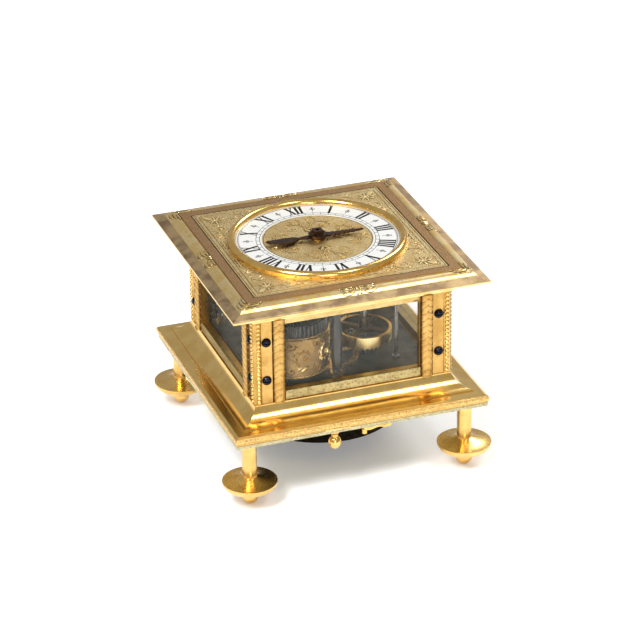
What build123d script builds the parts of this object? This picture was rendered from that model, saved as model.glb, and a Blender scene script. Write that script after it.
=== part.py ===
from build123d import *
import math
import os

# Horizontal table clock. X right, Y back (towards XII), Z up, millimetres.
# The origin is the middle of its footprint, on the surface that it stands on.

# The body's half width is the master size: the mouldings, plates and feet are set out from it
body_half = 49.0

# Feet
foot_height = 34.5
foot_stem_radius = 3.6
foot_disc_radius = 13.5
foot_disc_thickness = 6.2
foot_disc_rim = 0.8
foot_disc_dish = 0.9
foot_step_radius = 7.5
foot_step_thickness = 1.2
foot_ball_radius = 4.1
foot_flat_radius = 1.8
foot_tenon_radius = 2.4

# Underplate, the thin plate that the feet carry; it stands a little inside the base rim
base_reach = 16.3
base_half = body_half + base_reach
underplate_setback = 0.8
underplate_half = base_half - underplate_setback
foot_from_edge = 8.7
foot_spacing = 2 * (underplate_half - foot_from_edge)
underplate_thickness = 1.6
underplate_opening_radius = 44.0
underplate_gap = 0.1

# Base moulding
base_rim_height = 4.6
base_ledge_reach = 10.2
base_cove_reach = 2.6
base_ledge_half = body_half + base_ledge_reach
base_height = 12.8
base_neck_reach = 1.6
base_neck_half = body_half + base_neck_reach
base_seat_width = 2.0
base_inner_half = body_half - base_seat_width

# Body, the glazed box
body_wall = 2.6
body_height = 44.4
body_flange_reach = 7.0
body_flange_half = body_half - body_flange_reach
body_flange_thickness = 1.0
window_corner_width = 14.4
window_half = body_half - window_corner_width
window_sill_height = 5.3
window_top_height = 41.6
sill_thickness = 1.4
sill_bottom_height = 0.8
glass_thickness = 1.6
glass_lap = 1.8

# Pilasters and their screws
pilaster_thickness = 1.1
pilaster_width = 15.4
pearl_width = 3.4
pearl_rise = 0.9
leaf_width = 6.6
leaf_rise = 2.1
screw_from_corner = 5.9
screw_low = 12.5
screw_high = 32.8
screw_head_radius = 2.4
screw_head_rise = 1.9
screw_shank_radius = 1.1
screw_length = 3.4
screw_slot = 0.6

# Lid frame and dial; the lid's bands are set out from the dial plate
dial_reach = 0.45
dial_half = body_half + dial_reach
dial_thickness = 2.4
dial_gap = 0.1
lid_flat_band_width = 5.05
lid_convex_band_half = dial_half + dial_gap + lid_flat_band_width
lid_convex_band_width = 5.4
lid_outer_band_half = lid_convex_band_half + lid_convex_band_width
lid_slope_width = 5.2
lid_half = lid_outer_band_half + lid_slope_width
lid_nose_back = 0.8
lid_nose_rise = 0.9
lid_band_crown = 0.3
lid_band_step = 0.4
lid_height = 13.0
lid_neck_reach = 2.2
lid_neck_half = body_half + lid_neck_reach
lid_edge_height = 8.9
lid_ledge_half = body_half - body_wall
bezel_outer_radius = 44.3
bezel_inner_radius = 40.3
bezel_rise = 3.4
chapter_inner_radius = 27.4
chapter_thickness = 1.0
chapter_gap = 0.1
centre_disc_thickness = 0.8

# Movement frame
plate_gap = 2.4
plate_half = body_half - body_wall - plate_gap
plate_thickness = 2.0
plate_spacing = 35.0
pillar_radius = 1.9
pillar_belly_radius = 3.0
pillar_foot_radius = 3.4
pillar_foot_height = 2.4
pillar_pivot_radius = 1.4
post_number = 2
post_radius = 0.8
post_belly_radius = 1.0
post_foot_radius = 1.8
post_foot_height = 0.8
pillar_places = ((-5.0, -40.0), (29.2, -31.0), (35.0, 35.0), (-39.5, 39.5))

# Teeth
pressure_angle = math.radians(25.0)
addendum = 0.7
dedendum = 1.05
tooth_thinning = 0.12
running_gap = 0.05

# Wheel train
great_teeth = 48
great_module = 0.7
great_thickness = 6.0
great_bottom = 25.4
second_pinion_teeth = 12
wheel_thickness = 0.8
train_module = 0.65
second_teeth = 54
small_pinion_teeth = 10
contrate_teeth = 40
escape_pinion_teeth = 8
dial_pinion_teeth = 12
hour_teeth = 48
barrel_distance = 35.0
barrel_bearing = 230.0
contrate_place = (16.6, -20.0)
layer_gap = 0.5

# Barrels
drum_radius = 17.0
drum_height = 21.6
drum_bottom = 3.6
drum_wall = 1.2
spring_hub_radius = 5.0
barrel_arbor_radius = 2.0
barrel_pipe_radius = 4.6
winding_square = 2.6
winding_square_length = 7.0
ratchet_teeth = 24
ratchet_radius = 7.0
ratchet_depth = 0.9
ratchet_thickness = 1.6

# Arbors
arbor_radius = 1.2
pivot_radius = 0.7
contrate_rim_height = 5.4
contrate_rim_bottom = 8.3
contrate_tooth_width = 1.6
contrate_tooth_thinning = 0.32
contrate_collet_radius = 2.6
contrate_collet_height = 5.5
crown_radius = 4.6
crown_teeth = 15
crown_rim_width = 0.9
crown_height = 3.0
crown_tooth_depth = 1.4
crown_from_pinion = 7.0
cock_width = 4.2
cock_depth = 1.6
potence_gap = 1.0
escape_end_gap = 0.2
pallet_gap = 0.9
pallet_length = 1.6
pallet_width = 0.8
verge_radius = 0.9
balance_radius = 12.5
balance_rim_width = 1.6
balance_thickness = 1.2
balance_rise = 1.5

# Dial train above the top plate
hour_wheel_rise = 6.0
hour_wheel_thickness = 2.0
hand_stud_radius = 1.6
hand_stud_shoulder_radius = 3.2
hand_pipe_radius = 2.8
hand_gap = 0.9
hand_thickness = 0.9
hand_reach = 24.0
hand_tail_reach = 26.0
hand_boss_radius = 4.5
hand_boss_height = 1.1
hand_knob_width = 4.6
hand_knob_height = 2.0
hand_square_width = 1.9

# Bell and hammer
bell_mouth_radius = 40.0
bell_mouth_height = 15.0
bell_crown_height = 45.0
bell_crown_radius = 13.0
bell_wall = 1.8
bell_post_radius = 2.0
bell_nut_radius = 4.0
bell_nut_height = 2.6
bell_shoulder = (23.0, 36.5)
bell_haunch = (20.0, 39.5)
bell_waist = (27.0, 26.0)
bell_waist_thinning = 0.9
bell_rim_width = 2.4
bell_crown_drop = 1.6
hammer_place = (30.0, 18.0)
hammer_level = 40.0
hammer_thickness = 2.4
hammer_head_radius = 2.4
hammer_gap = 0.6
hammer_arm_width = 2.0

# Hinge of the case on the underplate
hinge_axis_y = 63.6
hinge_knuckle_radius = 1.6
hinge_pin_radius = 0.7
hinge_leaf_thickness = 0.7
hinge_leaf_length = 9.0
hinge_middle_length = 9.4
hinge_side_length = 7.0
hinge_gap = 0.3

# Catch and scroll lever under the front edge
catch_place = (-13.5, -60.0)
catch_knob_radius = 3.25
catch_knob_height = 10.4
catch_stem_radius = 1.4
catch_tongue_length = 8.0
catch_tongue_width = 2.0
catch_tongue_thickness = 1.2
keeper_thickness = 0.8
keeper_half_length = 6.5
catch_room_radius = 5.0
lever_place = (9.0, -57.0)
lever_thickness = 1.4
lever_pivot_radius = 1.1
lever_gap = 0.2

# Levels
underplate_top = foot_height + underplate_thickness
base_bottom = underplate_top + underplate_gap
base_top = base_bottom + base_height
body_top = base_top + body_height
lid_top = body_top + lid_height
plate_low = base_top + body_flange_thickness
plate_floor = plate_low + plate_thickness
plate_ceiling = plate_floor + plate_spacing
plate_high = plate_ceiling + plate_thickness
dial_bottom = lid_top - dial_thickness
hinge_axis_z = foot_height - hinge_leaf_thickness + hinge_knuckle_radius
first_layer = plate_floor + layer_gap

# Places of the arbors
barrel_angle = math.radians(barrel_bearing)
barrel_place = (
    barrel_distance * math.cos(barrel_angle),
    barrel_distance * math.sin(barrel_angle),
)
great_distance = (great_teeth + second_pinion_teeth) * great_module / 2
second_distance = (second_teeth + small_pinion_teeth) * train_module / 2
dial_module = 2 * barrel_distance / (dial_pinion_teeth + hour_teeth)
contrate_radius = contrate_teeth * train_module / 2
escape_pinion_radius = escape_pinion_teeth * train_module / 2


def polar(place, distance, degrees):
    """The point at a distance and a bearing from a place."""
    turn = math.radians(degrees)
    return (place[0] + distance * math.cos(turn), place[1] + distance * math.sin(turn))


def bearing(start, end):
    """The direction from one place to another, in degrees."""
    return math.degrees(math.atan2(end[1] - start[1], end[0] - start[0]))


def meeting(first, first_distance, second, second_distance):
    """The place at both distances from two places, on the left of their line."""
    span = math.dist(first, second)
    along = (first_distance**2 - second_distance**2 + span**2) / (2 * span)
    turn = math.degrees(math.acos(along / first_distance))
    return polar(first, first_distance, bearing(first, second) + turn)


second_place = meeting(barrel_place, great_distance, contrate_place, second_distance)


def export(piece, name):
    """Label a finished piece and write it."""
    piece.part.label = name
    export_step(piece.part, f"parts/{name}.step")


def involute(radius, base):
    """The involute function at a radius."""
    slope = math.acos(min(1.0, base / radius))
    return math.tan(slope) - slope


def gear_outline(teeth, module, first_tooth):
    """Draw a closed outline of involute teeth; one tooth points along first_tooth."""
    pitch = teeth * module / 2
    base = pitch * math.cos(pressure_angle)
    tip = pitch + addendum * module
    root = pitch - dedendum * module
    start = max(base, root)
    middle = (start + tip) / 2
    half_tooth = (math.pi * module / 2 - tooth_thinning) / (2 * pitch) + involute(pitch, base)

    def at(radius, side, number):
        grown = max(radius, start)
        turn = math.radians(first_tooth) + 2 * math.pi * number / teeth
        turn += side * (half_tooth - involute(grown, base))
        return (radius * math.cos(turn), radius * math.sin(turn))

    for number in range(teeth):
        ThreePointArc(at(start, -1, number), at(middle, -1, number), at(tip, -1, number))
        Line(at(tip, -1, number), at(tip, 1, number))
        ThreePointArc(at(tip, 1, number), at(middle, 1, number), at(start, 1, number))
        if root < start:
            Line(at(start, 1, number), at(root, 1, number))
            Line(at(root, 1, number), at(root, -1, number + 1))
            Line(at(root, -1, number + 1), at(start, -1, number + 1))
        else:
            Line(at(start, 1, number), at(start, -1, number + 1))


def level(place, height):
    """A level plane with its origin over a place."""
    return Plane(origin=(place[0], place[1], height), x_dir=(1, 0, 0), z_dir=(0, 0, 1))


def wheel(place, bottom, thickness, teeth, module, first_tooth, bore, spokes=4, hub=4.0, rim=2.6):
    """A crossed wheel with a hub, spokes and a toothed rim."""
    inner = teeth * module / 2 - rim
    with BuildPart() as blank:
        with BuildSketch(level(place, bottom)):
            with BuildLine():
                gear_outline(teeth, module, first_tooth)
            make_face()
            Circle(inner, mode=Mode.SUBTRACT)
            Circle(hub)
            with PolarLocations(0, spokes):
                Rectangle(inner + rim / 2, hub * 0.7, align=(Align.MIN, Align.CENTER))
            Circle(bore, mode=Mode.SUBTRACT)
        extrude(amount=thickness)
    return blank


def turned(place, steps):
    """A round piece from (bottom, top, radius) steps on one upright axis."""
    with BuildPart() as rod:
        for bottom, top, radius in steps:
            with BuildSketch(level(place, bottom)):
                Circle(radius)
            extrude(amount=top - bottom)
    return rod


def pinion_arbor(place, bottom, top, leaves, module, first_tooth, pinion_bottom, pinion_top):
    """An arbor between the plates with a pinion cut from it and a pivot at each end."""
    with BuildPart() as rod:
        with BuildSketch(level(place, bottom)):
            Circle(arbor_radius)
        extrude(amount=top - bottom)
        for start in (bottom - plate_thickness, top):
            with BuildSketch(level(place, start)):
                Circle(pivot_radius)
            extrude(amount=plate_thickness)
        with BuildSketch(level(place, pinion_bottom)):
            with BuildLine():
                gear_outline(leaves, module, first_tooth)
            make_face()
        extrude(amount=pinion_top - pinion_bottom)
    return rod


# Section of the front side: first axis outwards from the middle, second axis up
front_section = Plane(origin=(0, 0, 0), x_dir=(0, -1, 0), z_dir=(-1, 0, 0))


def mitred(side):
    """Four copies of a front side, cut at 45 degrees and joined into one frame."""
    with BuildPart() as quarter:
        add(side.part)
        for normal in ((-1, -1, 0), (1, -1, 0)):
            split(bisect_by=Plane(origin=(0, 0, 0), z_dir=normal), keep=Keep.TOP)
    with BuildPart() as frame:
        with PolarLocations(0, 4):
            add(quarter.part)
    return frame


def face_plane(turn, across, out, height):
    """A plane on one side of the case: x across, y up, z outwards. Turn 0 is the front."""
    angle = math.radians(turn)
    outward = (math.sin(angle), -math.cos(angle), 0)
    sideways = (math.cos(angle), math.sin(angle), 0)
    origin = tuple(across * sideways[k] + out * outward[k] for k in (0, 1))
    return Plane(origin=(*origin, height), x_dir=sideways, z_dir=outward)


os.makedirs("parts", exist_ok=True)

# Stand: four turned feet under a thin plate
foot_places = {
    "front_left": (-foot_spacing / 2, -foot_spacing / 2),
    "front_right": (foot_spacing / 2, -foot_spacing / 2),
    "back_left": (-foot_spacing / 2, foot_spacing / 2),
    "back_right": (foot_spacing / 2, foot_spacing / 2),
}
ball_centre = math.sqrt(foot_ball_radius**2 - foot_flat_radius**2)
step_bottom = ball_centre + math.sqrt(foot_ball_radius**2 - (foot_stem_radius * 0.6) ** 2)
disc_bottom = step_bottom + foot_step_thickness
disc_top = disc_bottom + foot_disc_thickness
disc_edge = disc_bottom + foot_disc_thickness / 2
for corner, place in foot_places.items():
    with BuildPart() as foot:
        with BuildSketch(Plane(origin=(*place, 0), x_dir=(1, 0, 0), z_dir=(0, -1, 0))):
            with BuildLine():
                Line((0, 0), (foot_flat_radius, 0))
                ThreePointArc(
                    (foot_flat_radius, 0),
                    (foot_ball_radius, ball_centre),
                    (foot_stem_radius * 0.6, step_bottom),
                )
                Polyline(
                    (foot_stem_radius * 0.6, step_bottom),
                    (foot_step_radius, step_bottom),
                    (foot_step_radius, disc_bottom),
                )
                ThreePointArc(
                    (foot_step_radius, disc_bottom),
                    (foot_disc_radius * 0.93, disc_bottom + foot_disc_thickness * 0.2),
                    (foot_disc_radius, disc_edge),
                )
                Line((foot_disc_radius, disc_edge), (foot_disc_radius, disc_edge + foot_disc_rim))
                ThreePointArc(
                    (foot_disc_radius, disc_edge + foot_disc_rim),
                    (
                        (foot_disc_radius + foot_stem_radius) / 2,
                        (disc_edge + foot_disc_rim + disc_top - foot_disc_dish) / 2,
                    ),
                    (foot_stem_radius, disc_top),
                )
                Polyline(
                    (foot_stem_radius, disc_top),
                    (foot_stem_radius, foot_height),
                    (foot_tenon_radius, foot_height),
                    (foot_tenon_radius, underplate_top),
                    (0, underplate_top),
                    (0, 0),
                )
            make_face()
        revolve(axis=Axis((*place, 0), (0, 0, 1)))
    export(foot, f"foot_{corner}")

hinge_length = hinge_middle_length + 2 * hinge_side_length + 2 * hinge_gap
hinge_room = hinge_knuckle_radius + hinge_gap
underplate_back = hinge_axis_y - hinge_gap

with BuildPart() as underplate:
    with BuildSketch(Plane.XY.offset(foot_height)):
        Rectangle(2 * underplate_half, 2 * underplate_half)
        with Locations((0, underplate_back)):
            Rectangle(
                2 * underplate_half,
                2 * (underplate_half - underplate_back),
                align=(Align.CENTER, Align.MIN),
                mode=Mode.SUBTRACT,
            )
        with Locations((0, hinge_axis_y - hinge_room)):
            Rectangle(
                hinge_length + 2 * hinge_gap,
                2 * hinge_room,
                align=(Align.CENTER, Align.MIN),
                mode=Mode.SUBTRACT,
            )
        Circle(underplate_opening_radius, mode=Mode.SUBTRACT)
        with Locations(*foot_places.values()):
            Circle(foot_tenon_radius, mode=Mode.SUBTRACT)
        with Locations(catch_place):
            Circle(catch_stem_radius + running_gap, mode=Mode.SUBTRACT)
        with Locations(lever_place):
            Circle(lever_pivot_radius, mode=Mode.SUBTRACT)
    extrude(amount=underplate_thickness)
export(underplate, "underplate")


def hinge_leaf(spans, leaf_bottom, bore):
    """A hinge leaf: a flat plate with knuckles on the hinge axis over the given X spans."""
    with BuildPart() as leaf:
        for start, end in spans:
            knuckle_plane = Plane(
                origin=(start, hinge_axis_y, hinge_axis_z), x_dir=(0, 1, 0), z_dir=(1, 0, 0)
            )
            with BuildSketch(knuckle_plane):
                Circle(hinge_knuckle_radius)
                reach = hinge_room + layer_gap
                low = leaf_bottom - hinge_axis_z
                with Locations((-reach, low)):
                    Rectangle(reach, hinge_leaf_thickness, align=(Align.MIN, Align.MIN))
            extrude(amount=end - start)
        with BuildSketch(Plane.XY.offset(leaf_bottom)):
            with Locations((0, hinge_axis_y - hinge_room)):
                Rectangle(hinge_length, hinge_leaf_length, align=(Align.CENTER, Align.MAX))
        extrude(amount=hinge_leaf_thickness)
        bore_plane = Plane(
            origin=(-hinge_length, hinge_axis_y, hinge_axis_z), x_dir=(0, 1, 0), z_dir=(1, 0, 0)
        )
        with BuildSketch(bore_plane):
            Circle(bore)
        extrude(amount=2 * hinge_length, mode=Mode.SUBTRACT)
    return leaf


middle_end = hinge_middle_length / 2
side_start = middle_end + hinge_gap
side_end = side_start + hinge_side_length
lower_leaf = hinge_leaf(
    ((-side_end, -side_start), (side_start, side_end)),
    foot_height - hinge_leaf_thickness,
    hinge_pin_radius,
)
export(lower_leaf, "lower_hinge_leaf")
upper_leaf_bottom = hinge_axis_z + hinge_knuckle_radius - hinge_leaf_thickness
upper_leaf = hinge_leaf(
    ((-middle_end, middle_end),), upper_leaf_bottom, hinge_pin_radius + running_gap
)
export(upper_leaf, "upper_hinge_leaf")

with BuildPart() as hinge_pin:
    pin_plane = Plane(
        origin=(-side_end, hinge_axis_y, hinge_axis_z), x_dir=(0, 1, 0), z_dir=(1, 0, 0)
    )
    with BuildSketch(pin_plane):
        Circle(hinge_pin_radius)
    extrude(amount=2 * side_end)
export(hinge_pin, "hinge_pin")

# Catch: a turned knob whose tongue passes the keeper when it lies along X
keeper_bottom = base_bottom
tongue_bottom = keeper_bottom + keeper_thickness + lever_gap
tongue_top = tongue_bottom + catch_tongue_thickness
room_top = tongue_top + lever_gap
with BuildPart() as catch_knob:
    knob_bottom = foot_height - lever_gap - catch_knob_height
    knob_top = foot_height - lever_gap
    with BuildSketch(Plane(origin=(*catch_place, 0), x_dir=(1, 0, 0), z_dir=(0, -1, 0))):
        with BuildLine():
            Line((0, knob_bottom), (catch_knob_radius * 0.4, knob_bottom))
            ThreePointArc(
                (catch_knob_radius * 0.4, knob_bottom),
                (catch_knob_radius, knob_bottom + catch_knob_height * 0.34),
                (catch_knob_radius * 0.5, knob_bottom + catch_knob_height * 0.62),
            )
            Polyline(
                (catch_knob_radius * 0.5, knob_bottom + catch_knob_height * 0.62),
                (catch_knob_radius * 0.5, knob_bottom + catch_knob_height * 0.74),
                (catch_knob_radius * 0.8, knob_bottom + catch_knob_height * 0.86),
                (catch_knob_radius * 0.8, knob_top),
                (catch_stem_radius, knob_top),
                (catch_stem_radius, tongue_bottom),
                (0, tongue_bottom),
                (0, knob_bottom),
            )
        make_face()
    revolve(axis=Axis((*catch_place, 0), (0, 0, 1)))
    with BuildSketch(level(catch_place, tongue_bottom)):
        SlotOverall(catch_tongue_length, catch_tongue_width)
    extrude(amount=catch_tongue_thickness)
export(catch_knob, "catch_knob")

with BuildPart() as catch_keeper:
    with BuildSketch(level(catch_place, keeper_bottom)):
        Rectangle(2 * keeper_half_length, 2 * catch_room_radius - lever_gap)
        SlotOverall(
            catch_tongue_length + 4 * lever_gap,
            max(catch_tongue_width, 2 * catch_stem_radius) + 4 * lever_gap,
            mode=Mode.SUBTRACT,
        )
    extrude(amount=keeper_thickness)
export(catch_keeper, "catch_keeper")

# Scroll lever, a flat curled plate that turns on a screw under the front edge
lever_top = foot_height - lever_gap
lever_bottom = lever_top - lever_thickness
with BuildPart() as scroll_lever:
    with BuildSketch(level(lever_place, lever_bottom)):
        with BuildLine():
            Spline((-3.0, 1.6), (1.0, 3.2), (4.4, 0.6), (3.6, -4.2), (5.2, -7.0))
            Line((5.2, -7.0), (1.4, -7.6))
            Spline((1.4, -7.6), (-1.0, -6.2), (-4.6, -7.4), (-8.4, -6.4))
            Line((-8.4, -6.4), (-9.6, -4.4))
            Spline((-9.6, -4.4), (-6.2, -4.8), (-3.4, -2.0), (-3.0, 1.6))
        make_face()
        Circle(lever_pivot_radius + running_gap, mode=Mode.SUBTRACT)
    extrude(amount=lever_thickness)
    with BuildSketch(level((lever_place[0] - 8.0, lever_place[1] - 5.4), lever_bottom)):
        Circle(1.3)
    extrude(amount=-2.4)
export(scroll_lever, "scroll_lever")

lever_screw = turned(
    lever_place,
    (
        (lever_bottom - lever_gap - 1.2, lever_bottom - lever_gap, 2.3),
        (lever_bottom - lever_gap, underplate_top, lever_pivot_radius),
    ),
)
export(lever_screw, "lever_screw")

# Base moulding: bead rim, ledge and cove
rim_top = base_bottom + base_rim_height
with BuildPart() as base_side:
    with BuildSketch(front_section):
        with BuildLine():
            Polyline(
                (base_inner_half, base_bottom),
                (base_half - 0.7, base_bottom),
                (base_half - 0.7, base_bottom + 0.7),
            )
            ThreePointArc(
                (base_half - 0.7, base_bottom + 0.7),
                (base_half, base_bottom + base_rim_height / 2),
                (base_half - 1.0, rim_top - 0.6),
            )
            Polyline(
                (base_half - 1.0, rim_top - 0.6),
                (base_half - 2.0, rim_top),
                (base_ledge_half, rim_top + 0.3),
                (base_ledge_half, rim_top + 0.9),
            )
            ThreePointArc(
                (base_ledge_half, rim_top + 0.9),
                (base_neck_half + base_cove_reach, rim_top + (base_top - rim_top) * 0.42),
                (base_neck_half, base_top - 0.6),
            )
            Polyline(
                (base_neck_half, base_top - 0.6),
                (base_neck_half, base_top),
                (base_inner_half, base_top),
                (base_inner_half, base_bottom),
            )
        make_face()
    extrude(amount=base_half + 5, both=True)
base_blank = mitred(base_side)
with BuildPart() as base_moulding:
    add(base_blank.part)
    hinge_cut = Plane.XY.offset(base_bottom)
    with BuildSketch(hinge_cut):
        with Locations((0, hinge_axis_y - hinge_room)):
            Rectangle(
                hinge_length + 2 * hinge_gap,
                4 * hinge_room,
                align=(Align.CENTER, Align.MIN),
            )
    extrude(
        amount=hinge_axis_z + hinge_knuckle_radius + hinge_gap - base_bottom,
        mode=Mode.SUBTRACT,
    )
    with BuildSketch(hinge_cut):
        with Locations((0, hinge_axis_y - hinge_room)):
            Rectangle(hinge_length, hinge_leaf_length, align=(Align.CENTER, Align.MAX))
    extrude(amount=upper_leaf_bottom + hinge_leaf_thickness - base_bottom, mode=Mode.SUBTRACT)
    with BuildSketch(level(catch_place, base_bottom)):
        Circle(catch_room_radius)
    extrude(amount=room_top - base_bottom, mode=Mode.SUBTRACT)
    with BuildSketch(level(catch_place, base_bottom)):
        Rectangle(2 * keeper_half_length, 2 * catch_room_radius - lever_gap)
    extrude(amount=keeper_thickness, mode=Mode.SUBTRACT)
export(base_moulding, "base_moulding")

# Body frame: a square tube with four windows and a flange that carries the movement
body_inner = body_half - body_wall
window_low = base_top + window_sill_height
window_high = base_top + window_top_height
screw_places = [
    (turn, side * (body_half + pilaster_thickness - screw_from_corner), base_top + height)
    for turn in (0, 90, 180, 270)
    for side in (-1, 1)
    for height in (screw_low, screw_high)
]
pilaster_face = body_half + pilaster_thickness
with BuildPart() as body_frame:
    with BuildSketch(Plane.XY.offset(base_top)):
        Rectangle(2 * body_half, 2 * body_half)
        Rectangle(2 * body_inner, 2 * body_inner, mode=Mode.SUBTRACT)
    extrude(amount=body_height)
    with BuildSketch(Plane.XY.offset(base_top)):
        Rectangle(2 * body_inner, 2 * body_inner)
        Rectangle(2 * body_flange_half, 2 * body_flange_half, mode=Mode.SUBTRACT)
    extrude(amount=body_flange_thickness)
    for turn in (0, 90):
        with BuildSketch(face_plane(turn, 0, -2 * body_half, window_low)):
            Rectangle(
                2 * window_half,
                window_high - window_low,
                align=(Align.CENTER, Align.MIN),
            )
        extrude(amount=4 * body_half, mode=Mode.SUBTRACT)
    for turn, across, height in screw_places:
        with BuildSketch(face_plane(turn, across, body_half - body_wall, height)):
            Circle(screw_shank_radius)
        extrude(amount=2 * body_wall, mode=Mode.SUBTRACT)
export(body_frame, "body_frame")

side_names = {0: "front", 90: "right", 180: "back", 270: "left"}
for turn, side_name in side_names.items():
    with BuildPart() as glass:
        with BuildSketch(face_plane(turn, 0, body_inner - glass_thickness, window_low - glass_lap)):
            Rectangle(
                2 * (window_half + glass_lap),
                window_high - window_low + 2 * glass_lap,
                align=(Align.CENTER, Align.MIN),
            )
        extrude(amount=glass_thickness)
    export(glass, f"glass_{side_name}")

with BuildPart() as window_sills:
    for turn in side_names:
        with BuildSketch(face_plane(turn, 0, body_half, base_top + sill_bottom_height)):
            Rectangle(
                2 * (body_half + pilaster_thickness - pilaster_width),
                window_sill_height - sill_bottom_height,
                align=(Align.CENTER, Align.MIN),
            )
        extrude(amount=sill_thickness)
export(window_sills, "window_sills")

# Corner pilasters: on each face a pearl strip, a plain band and a leaf strip by the window
corner_names = {0: "front_right", 90: "back_right", 180: "back_left", 270: "front_left"}
for corner_turn, corner_name in corner_names.items():
    with BuildPart() as pilaster:
        for turn, side in ((corner_turn, 1), ((corner_turn + 90) % 360, -1)):
            corner_at = side * pilaster_face
            pearl_end = corner_at - side * pearl_width
            leaf_start = corner_at - side * (pilaster_width - leaf_width)
            leaf_end = corner_at - side * pilaster_width
            spin = math.radians(turn)
            plan = Plane(
                origin=(0, 0, base_top),
                x_dir=(math.cos(spin), math.sin(spin), 0),
                z_dir=(0, 0, 1),
            )
            with BuildSketch(plan):
                with BuildLine():
                    Line((side * body_half, -body_half), (corner_at, -pilaster_face))
                    ThreePointArc(
                        (corner_at, -pilaster_face),
                        ((corner_at + pearl_end) / 2, -pilaster_face - pearl_rise),
                        (pearl_end, -pilaster_face),
                    )
                    Line((pearl_end, -pilaster_face), (leaf_start, -pilaster_face))
                    ThreePointArc(
                        (leaf_start, -pilaster_face),
                        ((leaf_start + leaf_end) / 2, -pilaster_face - leaf_rise),
                        (leaf_end, -pilaster_face),
                    )
                    Polyline(
                        (leaf_end, -pilaster_face),
                        (leaf_end, -body_half),
                        (side * body_half, -body_half),
                    )
                make_face()
            extrude(amount=body_height)
            for hole_turn, across, height in screw_places:
                if hole_turn == turn and across * side > 0:
                    with BuildSketch(face_plane(turn, across, body_half, height)):
                        Circle(screw_shank_radius)
                    extrude(amount=pilaster_thickness, mode=Mode.SUBTRACT)
    export(pilaster, f"pilaster_{corner_name}")

# One slotted dome-head screw along +Z, its head seated at Z 0
with BuildPart() as screw:
    with BuildSketch(Plane.XZ):
        with BuildLine():
            Line((0, -screw_length), (screw_shank_radius, -screw_length))
            Line((screw_shank_radius, -screw_length), (screw_shank_radius, 0))
            Line((screw_shank_radius, 0), (screw_head_radius, 0))
            ThreePointArc(
                (screw_head_radius, 0),
                (screw_head_radius * 0.72, screw_head_rise * 0.72),
                (0, screw_head_rise),
            )
            Line((0, screw_head_rise), (0, -screw_length))
        make_face()
    revolve(axis=Axis.Z)
    with BuildSketch(Plane.XY.offset(screw_head_rise * 0.55)):
        Rectangle(3 * screw_head_radius, screw_slot)
    extrude(amount=screw_head_rise, mode=Mode.SUBTRACT)
with BuildPart() as pilaster_screws:
    for turn, across, height in screw_places:
        with Locations(face_plane(turn, across, pilaster_face, height).location):
            add(screw.part)
export(pilaster_screws, "pilaster_screws")

# Lid frame: cavetto, edge, sloping band, convex band, flat band
edge_z = body_top + lid_edge_height
band_z = edge_z + (lid_top - edge_z) * 0.46
with BuildPart() as lid_side:
    with BuildSketch(front_section):
        with BuildLine():
            Polyline(
                (lid_ledge_half, body_top),
                (lid_neck_half, body_top),
                (lid_neck_half, body_top + 0.9),
                (lid_neck_half + 0.8, body_top + 0.9),
            )
            ThreePointArc(
                (lid_neck_half + 0.8, body_top + 0.9),
                (lid_neck_half + 3.8, edge_z - 3.6),
                (lid_half - 2.4, edge_z - 1.3),
            )
            Line((lid_half - 2.4, edge_z - 1.3), (lid_half - 1.0, edge_z - 1.3))
            ThreePointArc(
                (lid_half - 1.0, edge_z - 1.3),
                (lid_half, edge_z),
                (lid_half - lid_nose_back, edge_z + lid_nose_rise),
            )
            Line((lid_half - lid_nose_back, edge_z + lid_nose_rise), (lid_outer_band_half, band_z))
            ThreePointArc(
                (lid_outer_band_half, band_z),
                ((lid_outer_band_half + lid_convex_band_half) / 2, lid_top - lid_band_crown),
                (lid_convex_band_half, lid_top - lid_band_step),
            )
            Polyline(
                (lid_convex_band_half, lid_top - lid_band_step),
                (lid_convex_band_half, lid_top),
                (dial_half + dial_gap, lid_top),
                (dial_half + dial_gap, dial_bottom),
                (lid_ledge_half, dial_bottom),
                (lid_ledge_half, body_top),
            )
        make_face()
    extrude(amount=lid_half + 5, both=True)
lid_frame = mitred(lid_side)
export(lid_frame, "lid_frame")

with BuildPart() as dial_plate:
    with BuildSketch(Plane.XY.offset(dial_bottom)):
        Rectangle(2 * dial_half, 2 * dial_half)
        Circle(hand_pipe_radius + hinge_gap, mode=Mode.SUBTRACT)
    extrude(amount=dial_thickness)
export(dial_plate, "dial_plate")

with BuildPart() as bezel:
    with BuildSketch(Plane(origin=(0, 0, lid_top), x_dir=(1, 0, 0), z_dir=(0, -1, 0))):
        with BuildLine():
            Polyline(
                (bezel_inner_radius, bezel_rise * 0.45),
                (bezel_inner_radius, 0),
                (bezel_outer_radius, 0),
                (bezel_outer_radius, bezel_rise * 0.25),
            )
            ThreePointArc(
                (bezel_outer_radius, bezel_rise * 0.25),
                ((bezel_inner_radius + bezel_outer_radius) / 2, bezel_rise),
                (bezel_inner_radius, bezel_rise * 0.45),
            )
        make_face()
    revolve(axis=Axis.Z)
export(bezel, "bezel")

with BuildPart() as chapter_ring:
    with BuildSketch(Plane.XY.offset(lid_top)):
        Circle(bezel_inner_radius - chapter_gap)
        Circle(chapter_inner_radius, mode=Mode.SUBTRACT)
    extrude(amount=chapter_thickness)
export(chapter_ring, "chapter_ring")

with BuildPart() as centre_disc:
    with BuildSketch(Plane.XY.offset(lid_top)):
        Circle(chapter_inner_radius - chapter_gap)
        Circle(hand_pipe_radius + hinge_gap, mode=Mode.SUBTRACT)
    extrude(amount=centre_disc_thickness)
export(centre_disc, "centre_disc")

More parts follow.
